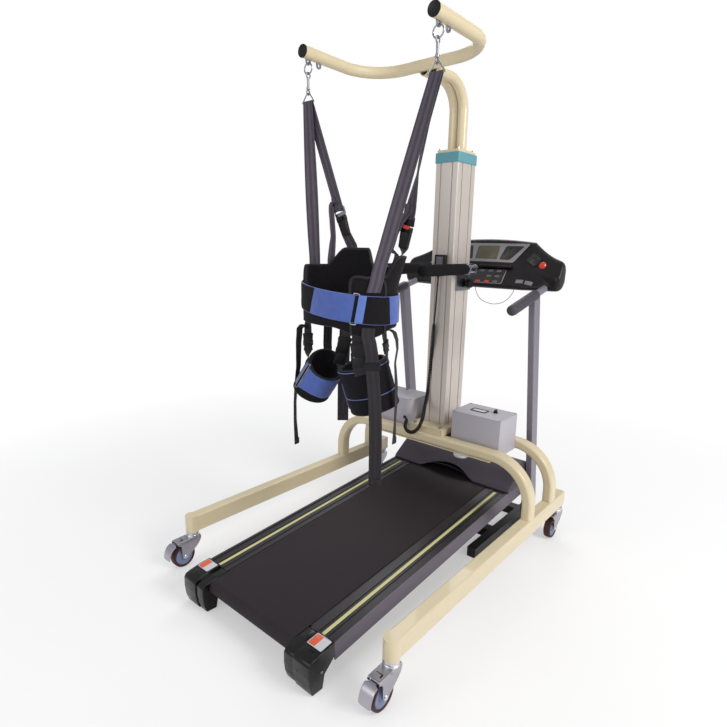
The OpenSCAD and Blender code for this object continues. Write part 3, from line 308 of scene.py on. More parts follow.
sideRailPaint = platedWith("sideRailPaint", tint(40, 36, 41), tint(98, 90, 104),
                           lambda x, y, z: abs(x - 0.022) > 0.3365, 0.35)
uprightPaint = painted("uprightPaint", tint(128, 124, 136), 0.38, 0.00006, 0.92, 0.15)
redPlastic = moulded("redPlastic", tint(226, 70, 52), 0.3, 1200.0, 0.00003, 0.85, 0.3)
cordRubber = moulded("cordRubber", tint(38, 36, 38), 0.5, 1500.0, 0.00006)
paleCord = moulded("paleCord", tint(150, 146, 158), 0.45, 2000.0, 0.00003, 0.85)
wheelTread = moulded("wheelTread", tint(74, 42, 42), 0.5, 700.0, 0.0001)
wheelHub = moulded("wheelHub", tint(128, 142, 172), 0.4, 900.0, 0.00005, 0.88)
webbingGrey = woven("webbingGrey", tint(56, 50, 60), tint(94, 86, 100))
webbingBlack = woven("webbingBlack", tint(24, 21, 25), tint(42, 38, 44), 0.0026)
padCover = knitted("padCover", tint(18, 16, 19), tint(38, 35, 40))
bindingTape = woven("bindingTape", tint(15, 14, 16), tint(30, 28, 32), 0.002)
blueCloth = looped("blueCloth", tint(58, 82, 156), tint(88, 112, 186))
paleBlueCloth = looped("paleBlueCloth", tint(74, 104, 182), tint(112, 142, 210))
bluePiping = looped("bluePiping", tint(76, 92, 168), tint(104, 120, 192))
beltRubber = finish("beltRubber", runningRubber)
boardWood = finish("boardWood", boardGrain)
basePlatePaint = platedWith("basePlatePaint", creamTone, zincTone, lambda x, y, z: z > 0.5003)
flangePaint = platedWith("flangePaint", creamTone, zincTone, lambda x, y, z: z > 1.7648)
yokePaint = platedWith("yokePaint", creamTone, zincTone, lambda x, y, z: z < 2.0404)
stripePlastic = moulded("stripePlastic", tint(212, 208, 150), 0.5, 900.0, 0.00003, 0.92)
silverPanel = metalled("silverPanel", tint(168, 166, 172), 0.38, (30.0, 300.0, 300.0), 0.00001)
displayGlass = painted("displayGlass", tint(86, 82, 60), 0.14, 0.000005, 0.94, 0.6)
darkGlass = painted("darkGlass", tint(24, 23, 26), 0.16, 0.000005, 0.9, 0.6)
patchOrange = painted("patchOrange", tint(226, 98, 58), 0.42, 0.00002, 0.95, 0.2)
patchPale = painted("patchPale", tint(206, 208, 214), 0.42, 0.00002, 0.96, 0.2)
print("stage: finishes made")

# Finishes of the CAD nodes
casterPlaces = ("front_left", "front_right", "rear_left", "rear_right")
nodeFinish = {
    creamPaint: "legs front_arch rear_arch shelf_plate riser_tubes", yokePaint: "yoke",
    basePlatePaint: "column_base_plate", flangePaint: "mast_flange",
    columnMetal: "column_outer column_inner", tealPlastic: "column_collar supply_button",
    casterZinc: "brake_pedal_left brake_pedal_right " + " ".join("caster_fork_" + p for p in casterPlaces),
    wheelHub: " ".join("caster_wheel_" + p for p in casterPlaces),
    zincPlate: "lead_screw snap_hooks front_roller rear_roller", chromePlate: "grip_bars strap_rings",
    blackFoam: "foam_grips", boxPaint: "control_box supply_box", consolePlastic: "console",
    blackPlastic: "clamp_knob_left clamp_knob_right power_knob pendant_body yoke_end_caps buckle_bodies "
                  "buckle_button_left end_caps",
    greyPlastic: "pendant_up_button pendant_down_button", uprightPaint: "uprights handrails",
    railPaint: "tread_base motor_hood drive_motor lift_motor", sideRailPaint: "tread_rails",
    redPlastic: "buckle_button_right stop_button", beltRubber: "running_belt", boardWood: "deck_board"}
for look, names in nodeFinish.items():
    for name in names.split():
        nodes[name].data.materials.clear()
        nodes[name].data.materials.append(look)


# Faces of a grid of points, rows by columns, joined round where asked
def gridFaces(rows, cols, roundRows, roundCols):
    r, c = np.meshgrid(np.arange(rows - (not roundRows)), np.arange(cols - (not roundCols)), indexing="ij")
    r, c = r.ravel(), c.ravel()
    nextR, nextC = (r + 1) % rows, (c + 1) % cols
    corners = np.stack([r * cols + c, r * cols + nextC, nextR * cols + nextC, nextR * cols + c], 1)
    plain = np.stack([np.stack([r, c], 1), np.stack([r, c + 1], 1), np.stack([r + 1, c + 1], 1),
                      np.stack([r + 1, c], 1)], 1)
    return corners, plain


# A skin: grid of points in mm; uv gives metres along rows and columns for cloth patterns
def skin(points, roundRows=False, roundCols=True, caps=True, uv=None, tone=0):
    rows, cols = points.shape[:2]
    corners, plain = gridFaces(rows, cols, roundRows, roundCols)
    ends = np.zeros((0, cols), int)
    if uv is None:
        uv = (np.arange(cols + 1) * mm, np.arange(rows + 1) * mm)
    coords = np.stack([uv[0][plain[..., 1]], uv[1][plain[..., 0]]], -1).reshape(-1, 2)
    if caps and roundCols and not roundRows:
        ends = np.stack([np.arange(cols)[::-1], np.arange(cols) + (rows - 1) * cols])
        coords = np.concatenate([coords, np.zeros((2 * cols, 2))])
    tones = np.broadcast_to(tone, len(corners) + len(ends))
    return {"points": points.reshape(-1, 3), "quads": corners, "ends": ends, "uv": coords, "tones": tones}


# One object from several skins, in place, riding on its body; sharp is the angle of a hard edge
def piece(name, skins, looks, body, stands=None, sharp=38):
    faces, offset = [], 0
    for s in skins:
        faces += (s["quads"] + offset).tolist() + (s["ends"] + offset).tolist()
        offset += len(s["points"])
    mesh = bpy.data.meshes.new(name)
    mesh.from_pydata((np.concatenate([s["points"] for s in skins]) * mm).tolist(), [], faces)
    layer = mesh.uv_layers.new(name="weave")
    layer.data.foreach_set("uv", np.concatenate([s["uv"] for s in skins]).astype(np.float32).ravel())
    tones = np.concatenate([s["tones"] for s in skins])
    mesh.polygons.foreach_set("material_index", tones.astype(np.int32))
    mesh.polygons.foreach_set("use_smooth", np.ones(len(faces), bool))
    shell = bmesh.new()
    shell.from_mesh(mesh)
    bmesh.ops.remove_doubles(shell, verts=shell.verts, dist=1e-6)
    bmesh.ops.recalc_face_normals(shell, faces=shell.faces)
    shell.to_mesh(mesh)
    shell.free()
    mesh.set_sharp_from_angle(angle=math.radians(sharp))
    made = linked(name, mesh)
    for look in looks:
        mesh.materials.append(look)
    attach(made, body)
    if stands:
        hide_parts(stands)
    return made


def unit(v):  # same direction, length 1
    return v / np.maximum(np.linalg.norm(v, axis=-1, keepdims=True), 1e-9)


def lengths(path):  # distance gone along a path at each of its points
    return np.concatenate([[0], np.cumsum(np.linalg.norm(np.diff(path, axis=0), axis=1))])


# Smooth line through points: cubic with the chord slopes, at even steps of length
def smoothLine(points, step, extra=None):
    points = np.asarray(points, float)
    both = points if extra is None else np.concatenate([points, np.asarray(extra, float)], 1)
    s = lengths(points)
    slopes = np.gradient(both, s, axis=0)
    t = np.linspace(0, s[-1], max(4, int(s[-1] / step) + 1))
    k = np.clip(np.searchsorted(s, t, "right") - 1, 0, len(s) - 2)
    h = (s[k + 1] - s[k])[:, None]
    u = ((t - s[k]) / h[:, 0])[:, None]
    return ((2 * u**3 - 3 * u**2 + 1) * both[k] + (u**3 - 2 * u**2 + u) * h * slopes[k]
            + (3 * u**2 - 2 * u**3) * both[k + 1] + (u**3 - u**2) * h * slopes[k + 1])


# A profile carried along a path: across is the direction of the profile's first coordinate
def carried(path, across, profile, tone=0, scale=None, closed=False, sheared=False):
    ahead = unit(np.roll(path, -1, 0) - np.roll(path, 1, 0)) if closed else unit(np.gradient(path, axis=0))
    wide = unit(across if sheared else across - ahead * np.sum(across * ahead, -1, keepdims=True))
    out = unit(np.cross(ahead, wide))
    size = np.ones((len(path), 2)) if scale is None else scale
    points = (path[:, None] + (profile[None, :, 0] * size[:, :1])[..., None] * wide[:, None]
              + (profile[None, :, 1] * size[:, 1:])[..., None] * out[:, None])
    rim = lengths(np.concatenate([profile, profile[:1]])) * mm
    run = lengths(np.concatenate([path, path[:1]])) * mm
    return skin(points, roundRows=closed, uv=(rim, run), tone=tone)


def webProfile(w, t):  # flat webbing: straight faces, round edges
    a = np.linspace(-np.pi / 2, np.pi / 2, 5)
    side = np.stack([w / 2 - t / 2 + t / 2 * np.cos(a), t / 2 * np.sin(a)], 1)
    flat = np.stack([np.linspace(w / 2 - t, t - w / 2, 7), np.full(7, t / 2)], 1)
    return np.concatenate([side, flat, -side, -flat])


def circle(n, r):  # n points round a circle
    a = np.arange(n) * 2 * np.pi / n
    return np.stack([r * np.cos(a), r * np.sin(a)], 1)


# Turned form: (radius, height) profile spun round an axis through centre
def turned(profile, centre, axis, steps=40, tone=0, hollow=False):
    profile = np.asarray(profile, float)
    axis = unit(np.asarray(axis, float))
    first = unit(np.cross(axis, [0.31, 0.87, 0.38]))
    second = np.cross(axis, first)
    a = np.arange(steps) * 2 * np.pi / steps
    ring = np.cos(a)[:, None] * first + np.sin(a)[:, None] * second
    points = np.asarray(centre, float) + profile[:, None, :1] * ring[None] + profile[:, None, 1:] * axis
    return skin(points, roundRows=hollow, tone=tone)


# Outline of a rounded rectangle, n points a corner, centred
def roundOutline(w, d, r, n=6):
    a = np.concatenate([np.linspace(k, k + 1, n) for k in range(4)]) * np.pi / 2
    sx = np.repeat([1, -1, -1, 1], n)
    sy = np.repeat([1, 1, -1, -1], n)
    return np.stack([sx * (w / 2 - r) + r * np.cos(a), sy * (d / 2 - r) + r * np.sin(a)], 1)


# Outline moved inwards by k, along the bisectors of its corners
def insetOutline(outline, k):
    before, after = unit(outline - np.roll(outline, 1, 0)), unit(np.roll(outline, -1, 0) - outline)
    bisector = unit(np.stack([-(before + after)[:, 1], (before + after)[:, 0]], 1))
    square = np.maximum(np.abs(before[:, 0] * bisector[:, 1] - before[:, 1] * bisector[:, 0]), 0.5)
    return outline + bisector * (k / square)[:, None]


# Slab: an outline (anticlockwise) raised by h with rolled edges; frameAxes are its x, y, z directions
def slab(outline, h, edge, centre, frameAxes=np.eye(3), tone=0, taper=None):
    a = np.linspace(0, np.pi / 2, 4)
    inset = np.concatenate([edge * (1 - np.sin(a)), edge * (1 - np.cos(a))])
    z = np.concatenate([edge * (1 - np.cos(a)), h - edge + edge * np.sin(a)])
    rings = np.stack([insetOutline(np.asarray(outline, float), i) for i in inset])
    if taper is not None:
        rings = rings * np.interp(z, [0, h], taper)[:, None, None]
    local = np.concatenate([rings, np.broadcast_to((z - h / 2)[:, None, None], rings.shape[:2] + (1,))], -1)
    return skin(np.asarray(centre, float) + local @ np.asarray(frameAxes, float), tone=tone)


# Slab of a rounded rectangle, w by d by h
def block(centre, w, d, h, r, edge, frameAxes=np.eye(3), tone=0, taper=None):
    return slab(roundOutline(w, d, r), h, edge, centre, frameAxes, tone, taper)


def cutCorners(outline, r, n=5):  # each corner becomes a short curve that starts r before it
    outline = np.asarray(outline, float)
    before, after = np.roll(outline, 1, 0), np.roll(outline, -1, 0)
    reachB = np.minimum(r, 0.45 * np.linalg.norm(before - outline, axis=1))[:, None]
    reachA = np.minimum(r, 0.45 * np.linalg.norm(after - outline, axis=1))[:, None]
    p, q = outline + unit(before - outline) * reachB, outline + unit(after - outline) * reachA
    u = np.linspace(0, 1, n)[None, :, None]
    return ((1 - u) ** 2 * p[:, None] + 2 * u * (1 - u) * outline[:, None] + u**2 * q[:, None]).reshape(-1, 2)


# Flat frame: outer and inner outlines with a bevelled section between them
def plateRing(outer, inner, thick, centre, frameAxes, tone=0):
    half, bevel = thick / 2, 0.25 * thick

    def drawnIn(outline, k):  # by k where it reaches farthest
        return outline * (1 - k / np.maximum(np.abs(outline).max(0), 1e-6))

    rims = [(outer, -half + bevel), (outer, half - bevel), (drawnIn(outer, bevel), half),
            (drawnIn(inner, -bevel), half), (inner, half - bevel), (inner, -half + bevel),
            (drawnIn(inner, -bevel), -half), (drawnIn(outer, bevel), -half)]
    local = np.stack([np.concatenate([o, np.full((len(o), 1), z)], 1) for o, z in rims], 1)
    return skin(np.asarray(centre, float) + local @ np.asarray(frameAxes, float), roundRows=True, tone=tone)


# Axes leaning about x: c and s are the cosine and sine of the lean
def leaning(c, s):
    return np.array([[1.0, 0, 0], [0, c, s], [0, -s, c]])


sideAxes = np.array([[0.0, 1, 0], [0, 0, 1], [1, 0, 0]])  # slabs that stand on edge, facing sideways
xWay, yWay, zWay = np.eye(3)

# Cords come first. Routes repeat the solids' points, in mm
curl = {"down": [[-10, 373, 1208], [-10, 373, 1195], [-11, 372, 1150], [-13, 372, 1090], [-16, 371, 1030],
                 [-18, 371, 996]],
        "loop": [[-43, 371, 610], [-42, 364, 590], [-36, 348, 568], [-24, 322, 548], [-12, 294, 528],
                 [-12, 276, 506], [-26, 270, 484], [-50, 268, 468], [-76, 268, 470], [-93, 272, 488],
                 [-98, 286, 506], [-110, 308, 513], [-130, 326, 510], [-144, 334, 506], [-148, 339, 505],
                 [-148, 343.8, 505]],
        "turns": 84, "radius": 6.0, "across": 7.0, "steps": 16}
safety = {"route": [[8, 700, 1151.8], [8, 700, 1142], [15, 699, 1124], [30, 698, 1102], [52, 698, 1085],
                    [80, 698, 1076], [110, 698, 1072], [140, 698, 1076], [168, 698, 1087], [190, 698, 1104],
                    [206, 699, 1126], [214, 700, 1142], [214, 700, 1151.8]], "across": 3.0}


# Round cord along a path, its ends filled
def cordCurve(name, path, across, look, stands):
    data = bpy.data.curves.new(name, "CURVE")
    data.dimensions = "3D"
    data.bevel_depth = across / 2 * mm
    data.bevel_resolution = 3
    data.use_fill_caps = True
    line = data.splines.new("POLY")
    line.points.add(len(path) - 1)
    line.points.foreach_set("co", np.concatenate([path * mm, np.ones((len(path), 1))], 1).ravel())
    line.use_smooth = True
    made = linked(name, data)
    data.materials.append(look)
    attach(made, "frame")
    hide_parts(stands)
    return made


# Coil: a point circles the middle line as it goes along it, closer to it at both ends
def coiled(middle, turns, radius, steps):
    s = lengths(middle)
    share = np.arange(1, turns * steps) / (turns * steps)
    line = np.stack([np.interp(share * s[-1], s, middle[:, k]) for k in range(3)], 1)
    ahead = unit(np.gradient(line, axis=0))
    first = unit(np.cross(ahead, [0.35, 0.9, 0.26]))
    angle = share * turns * 2 * np.pi
    reach = radius * np.clip(np.minimum(share, 1 - share) * turns / 2, 0, 1)
    return line + reach[:, None] * (np.cos(angle)[:, None] * first + np.sin(angle)[:, None] * np.cross(ahead, first))


hang = np.array([curl["down"][-1]] + curl["loop"][:-4], float)
curlPath = np.concatenate([smoothLine(curl["down"], 6),
                           coiled(smoothLine(hang, 4), curl["turns"], curl["radius"], curl["steps"]),
                           smoothLine(curl["loop"][-4:], 4)])
curlyCord = cordCurve("curlyCord", curlPath, curl["across"], cordRubber, "curly_cord")
curlLength = float(lengths(curlPath)[-1] * mm)
safetyPath = smoothLine(safety["route"], 5)
safetyCord = cordCurve("safetyCord", safetyPath, safety["across"], paleCord, "lanyard")
safetyLength = float(lengths(safetyPath)[-1] * mm)
tuple(safetyPath[0] * mm)
print("stage: cords", round(curlLength, 3), round(safetyLength, 3))


# Harness: places on the oval wall of the vest, angles in degrees, t 270 faces the walker's front
vestForm = {"centre": (-45.0, -203.0), "a": 205.0, "b": 128.0, "thick": 14.0, "height": 225.0, "crown": 1.2,
            "tape": 11.0, "wrinkle": 1.1, "low": 1046, "lowDrop": 34, "high": 1268, "backRise": 68,
            "wingRise": 42, "wingOut": 34, "frontDip": 95}
panelTape = {"out": 9.6, "width": 10, "thick": 3.2, "lines": [
    [(303, 1022), (302.5, 1080), (302, 1150), (301.5, 1205), (302.5, 1224), (306, 1233), (312, 1234), (322, 1228)],
    [(346, 1026), (346.5, 1090), (346, 1150), (345, 1205), (343, 1222)]]}
allRound = np.arange(0, 360, 1.5)


def swell(t, c, w):  # raised cosine of half width w about angle c
    d = np.abs((t - c + 900) % 360 - 180)
    return np.where(d < w, 0.5 + 0.5 * np.cos(np.pi * d / w), 0.0)


def ramp(v, start, width):  # 0 up to start, then straight up to 1
    return np.clip((v - start) / width, 0, 1)


def ease(v, start, width):  # ramp with soft ends
    u = ramp(v, start, width)
    return u * u * (3 - 2 * u)


# Point on an oval wall: angle t, out mm from the wall, height z
def onOval(form, t, out, z):
    t, out, z = np.broadcast_arrays(*(np.asarray(v, float) for v in (t, out, z)))
    a = np.radians(t)
    return np.stack([form["centre"][0] + (form["a"] + out) * np.cos(a),
                     form["centre"][1] + (form["b"] + out) * np.sin(a), z], -1)


def onVest(t, out, z):  # the right wing stands further out towards its top
    return onOval(vestForm, t, out + vestForm["wingOut"] * swell(t, 28, 62) * ramp(z, 1197, 120), z)


def roundVest(t):  # direction along the wall at angle t
    a = np.radians(np.asarray(t, float))
    return unit(np.stack([-vestForm["a"] * np.sin(a), vestForm["b"] * np.cos(a), 0 * a], -1))


def outOfVest(t):  # direction out of the wall at angle t
    return np.cross(roundVest(t), zWay)


def vestAxes(t):  # along the wall, up, and out of it
    return np.stack([roundVest(t), zWay, unit(outOfVest(t))])


def vestBend(t):  # radius of the oval's curve at angle t
    a, b = vestForm["a"], vestForm["b"]
    s, c = math.sin(math.radians(t)), math.cos(math.radians(t))
    return (a**2 * s * s + b**2 * c * c) ** 1.5 / a / b


def vestLow(t):  # bottom edge, lower in front on the right
    return vestForm["low"] - vestForm["lowDrop"] * swell(t, 322, 45)


# Top edge: level, raised from 92 to 124 degrees at the back and about 25 degrees on the right, dipped in front
def vestHigh(t):
    wing = (t + 180) % 360 - 180
    dip = vestForm["frontDip"] * (ease(t, 199, 26) - 0.65 * ease(t, 297, 10) - 0.35 * ease(t, 342, 18))
    return (vestForm["high"] + vestForm["backRise"] * ease(-t, -152, 28) * ease(t, 85, 8)
            + vestForm["wingRise"] * ease(wing, -12, 18) * ease(-wing, -62, 18) - dip)


# Wall between two edges, share f of the way up
def between(place, low, high):
    return lambda t, out, f: place(t, out, low(t) + f * (high(t) - low(t)))


# Section of a padded band, going round: outer face, top edge, inner face, bottom edge
# side is +1 outside to -1 inside, v the height from the bottom edge
def padSection(thick, height, faceSteps=26, edgeSteps=7):
    r = thick / 2
    run = np.linspace(0, 1, faceSteps)
    a = np.linspace(0, np.pi, edgeSteps + 2)[1:-1]
    face = r + run * (height - 2 * r)
    v = np.concatenate([face, height - r + r * np.sin(a), face[::-1], r - r * np.sin(a)])
    side = np.concatenate([np.ones(faceSteps), np.cos(a), -np.ones(faceSteps), -np.cos(a)])
    return side, v


# Padded band all round a wall: filled faces crowned out, edges bound with tape, slanting wrinkles
def padBand(wall, form, seed):
    thick, height, tape = form["thick"], form["height"], form["tape"]
    side, v = padSection(thick, height)
    t, f = np.broadcast_arrays(allRound[:, None], v[None] / height)
    dice = np.random.default_rng(seed)
    folds = 0.0
    for _ in range(9):  # each wave fades in and out round the band
        n, m, s, where = dice.integers(3, 14), dice.uniform(2, 9), dice.uniform(0, 6.28), dice.uniform(0, 360)
        folds = folds + (dice.uniform(0.25, 1.0) / 9 * 3.0 * np.sin(np.radians(t) * n + m * f * 3.0 + s)
                         * (0.25 + swell(t, where, 80)))
    edge = np.minimum(v, height - v)[None]
    pillow = np.clip(edge / (0.3 * height), 0, 1)
    stand = np.where(edge < tape, 0.9, 0.0) - 1.5 * np.exp(-((edge - tape - 1.5) / 1.4) ** 2)
    out = (side * (thick / 2 + form["crown"] * np.sin(pillow * np.pi / 2) + stand)
           + form["wrinkle"] * folds * pillow * np.abs(side))
    taped = (edge + np.roll(edge, -1, 1)) / 2 < tape
    return skin(wall(t, out, f), roundRows=True, caps=False, tone=np.tile(taped[0].astype(int), len(allRound)))


# Tape sewn on a wall: outline given as angle and height, width and thickness in mm
def wallTape(place, outline, out, width, thick, tone):
    t, z = np.array(outline, float).T
    path = smoothLine(place(t, out, z), 5)
    outward = unit((path - [*vestForm["centre"], 0]) * [1, 1, 0])
    across = np.cross(outward, unit(np.gradient(path, axis=0)))
    return carried(path, across, webProfile(width, thick), tone)


vestSkins = [padBand(between(onVest, vestLow, vestHigh), vestForm, 3)]
for outline in panelTape["lines"]:
    vestSkins.append(wallTape(onVest, outline, panelTape["out"], panelTape["width"], panelTape["thick"], 1))
vest = piece("vest", vestSkins, [padCover, bindingTape], "harness", "vest", 60)

# Waist belt: stretches of cloth between slanting borders; angle at mid height, slant in degrees
beltForm = {"out": 13.16, "thick": 7.0, "height": 103.0, "low": 1084, "slope": 21, "sunk": -1.3, "piping": 2.6,
            "borders": [(-150.5, 0), (-106, 9), (-55, 5), (-51, 5), (-42, 5), (-8, -3), (22, 0), (209.5, 0)],
            "tones": [1, 0, 1, 2, 1, 0, 1]}
beltLoop = {"at": 307.0, "lean": 7.0, "outer": (26, 117, 7), "inner": (18, 108, 3.5), "thick": 3.6}


def onBelt(t, out, f):  # outside the vest, lower on its right
    low = beltForm["low"] - beltForm["slope"] * np.cos(np.radians(t + 10))
    return onOval(vestForm, t, beltForm["out"] + out, low + f * beltForm["height"])


# One stretch: puffed up between its borders, with a crossing of two ripples; dark ones are sunk
def beltStretch(first, last, colour):
    thick, height = beltForm["thick"], beltForm["height"]
    side, v = padSection(thick, height, 22, 5)
    f = v / height
    start, stop = first[0] + first[1] * (f - 0.5), last[0] + last[1] * (f - 0.5)
    n = max(4, int((last[0] - first[0]) / 1.5))
    t = start + (stop - start) * np.linspace(0, 1, n)[:, None]
    edge = np.minimum(v, height - v)[None]
    ends = np.minimum(np.arange(n), n - 1 - np.arange(n))[:, None]
    puff = np.clip(np.minimum(edge / 16, ends / 4.0 + 0.25), 0, 1)
    ripple = 0.5 * np.sin(np.radians(t) * 23 + 5 * f) * np.sin(np.radians(t) * 9 + 2 + 3 * f)
    sunk = beltForm["sunk"] if colour == 1 else 0.0
    out = side * (thick / 2 + sunk * (side > 0.5)) + (0.9 * puff + ripple) * side * (edge > 5)
    tones = np.where(((edge + np.roll(edge, -1, 1)) / 2 < beltForm["piping"])[0], 3, colour)
    return skin(onBelt(t, out, f), tone=np.concatenate([np.tile(tones, n - 1), [colour, colour]]))


beltSkins = [beltStretch(*stretch) for stretch in zip(beltForm["borders"], beltForm["borders"][1:], beltForm["tones"])]
lean = math.radians(beltLoop["lean"])
flatAxes = vestAxes(beltLoop["at"])
loopAxes = np.stack([flatAxes[0] * math.cos(lean) - flatAxes[1] * math.sin(lean),
                     flatAxes[1] * math.cos(lean) + flatAxes[0] * math.sin(lean), flatAxes[2]])
beltSkins.append(plateRing(roundOutline(*beltLoop["outer"]), roundOutline(*beltLoop["inner"]), beltLoop["thick"],
                           onBelt(beltLoop["at"], 0.6, 0.5), loopAxes, 4))
waistBelt = piece("waistBelt", beltSkins, [blueCloth, padCover, paleBlueCloth, bluePiping, chromePlate], "harness",
                  "waist_belt", 50)
print("stage: vest and belt")


def cosine(t, c):  # 1 at angle c, -1 across from it
    return np.cos(np.radians(t - c))


# Leg cuffs, left and right: leaning oval bands, rims square to the lean
cuffForm = [{"centre": (-183.0, -276.0, 756.0), "a": 82.0, "b": 82.0, "lean": (0.62, 0.16), "thick": 13.0,
             "height": 124.0, "crown": 1.2, "tape": 8.0, "wrinkle": 1.2,
             "low": lambda t: 756 - 37 * cosine(t, 14.5),
             "high": lambda t: 882 - 37 * cosine(t, 14.5) + 20 * cosine(t, 135)},
            {"centre": (84.0, -182.0, 724.0), "a": 98.0, "b": 92.0, "lean": (-0.24, -0.2), "thick": 13.0,
             "height": 180.0, "crown": 1.2, "tape": 8.0, "wrinkle": 1.2,
             "low": lambda t: 724 + 27 * cosine(t, 38),
             "high": lambda t: 904 + 27 * cosine(t, 38)}]
flapForm = {"stretches": ((262, 388), (236, 251)), "out": 7.4, "thick": 2.6, "slant": 3, "rows": 24, "cols": 18}
cuffLoop = {"at": 256.0, "out": 8.2, "up": 8, "outer": (22, 122, 5), "inner": (14, 114, 2.5), "thick": 3.2}


def onCuff(form):  # an oval wall that moves along its lean with height
    def place(t, out, z):
        plumb = onOval(form, t, out, z)
        return plumb + (plumb[..., 2:] - form["centre"][2]) * [*form["lean"], 0]
    return place


leftPlace, rightPlace = (onCuff(form) for form in cuffForm)
leftLow, leftHigh, rightLow, rightHigh = (form[key] for form in cuffForm for key in ("low", "high"))
cuffSkins = [padBand(between(leftPlace, leftLow, leftHigh), cuffForm[0], 11),
             padBand(between(rightPlace, rightLow, rightHigh), cuffForm[1], 12)]


# Blue flap on the left cuff between two angles, with a rolled rim
def flap(t0, t1):
    rows, cols = flapForm["rows"], flapForm["cols"]
    u, w = np.linspace(0, 1, rows)[:, None], np.linspace(0, 1, cols)[None]
    t = t0 + (t1 - t0) * u + flapForm["slant"] * (w - 0.5)
    low = leftLow(t) + 22 + 8 * swell(t, 300, 60)
    z = low + w * (leftHigh(t) - 6 - low)
    rim = np.minimum(np.minimum(u, 1 - u) * rows, np.minimum(w, 1 - w) * cols)
    front = leftPlace(t, flapForm["out"] + flapForm["thick"] * np.sqrt(np.clip(rim / 2.0, 0, 1)), z)
    back = leftPlace(t, flapForm["out"] - 1.0, z)
    return skin(np.concatenate([front, back[:, ::-1]], 1), tone=2)


cuffSkins += [flap(*stretch) for stretch in flapForm["stretches"]]
ringAt = cuffLoop["at"]
cuffWay = np.array([-math.sin(math.radians(ringAt)), math.cos(math.radians(ringAt)), 0])
cuffUp = unit(np.array([*cuffForm[0]["lean"], 1.0]))
cuffSkins.append(plateRing(roundOutline(*cuffLoop["outer"]), roundOutline(*cuffLoop["inner"]), cuffLoop["thick"],
                           leftPlace(ringAt, cuffLoop["out"],
                                     0.5 * (leftLow(ringAt) + leftHigh(ringAt)) + cuffLoop["up"]),
                           np.stack([cuffWay, cuffUp, unit(np.cross(cuffWay, cuffUp))]), 4))
# piping round the right cuff, and down the end of its flap
for share in (0.36, 0.93):
    t = np.linspace(196, 400, 30)
    route = np.stack([t, rightLow(t) + share * (rightHigh(t) - rightLow(t))], 1)
    cuffSkins.append(wallTape(rightPlace, route, 8.6, 3.6, 2.4, 3))
v = np.linspace(0, 1, 8)
flapEnd = np.stack([223 + 7 * v, rightLow(226.0) + 118 - 96 * v], 1)
cuffSkins.append(wallTape(rightPlace, flapEnd, 8.8, 4, 2.6, 3))
legCuffs = piece("legCuffs", cuffSkins, [padCover, bindingTape, blueCloth, bluePiping, chromePlate], "harness",
                 "leg_cuffs", 60)


# Harness straps, left and right: up from the vest, over the bar of a link, down to a buckle and on to the back
# slack gives the folded end's way from the buckle: down the strap, out of its face, to the left
strapForm = {"x": 297.0, "barY": -175.0, "barZ": 1888.7, "bend": 4.1, "footZ": 1886.0, "farY": -173.5, "thick": 2.6,
             "wide": 50, "backWide": 48, "slackWide": 30, "foldWide": 49, "back": (118.0, 28.0),
             "return": (146.0, 48.0), "tongue": (0.785, 0.83), "out": 10.66, "lining": -11.1, "outside": 22.4,
             "slack": ([(-42, 3.4, 0), (-52, 6, 12), (-48, 9, 26), (-30, 10, 33), (81, 17, 60)],
                       [(-50, 4, 0), (-44, 9, 8), (-20, 16, 22), (20, 18, 36), (81, 16, 46)])}


# Webbing along points, with the direction of its width at each
def strap(points, wides, width, step=6, sub=5, sheared=False):
    points, wides = np.asarray(points, float), np.asarray(wides, float)
    s = lengths(points)
    grow = np.concatenate([np.linspace(s[i], s[i + 1], sub, endpoint=False) for i in range(len(s) - 1)] + [[s[-1]]])
    dense, turn = (np.stack([np.interp(grow, s, v[:, k]) for k in range(3)], 1) for v in (points, wides))
    line = smoothLine(dense, step, turn)
    return carried(line[:, :3], line[:, 3:], webProfile(width, strapForm["thick"]), sheared=sheared)


# Place inside the vest, so deep that the edges of flat webbing clear the curved lining
def backEnd(t, down):
    return onVest(t, strapForm["lining"] - strapForm["wide"] ** 2 / 8 / vestBend(t), vestHigh(t) - down)


strapSkins, buckleSkins = [], []


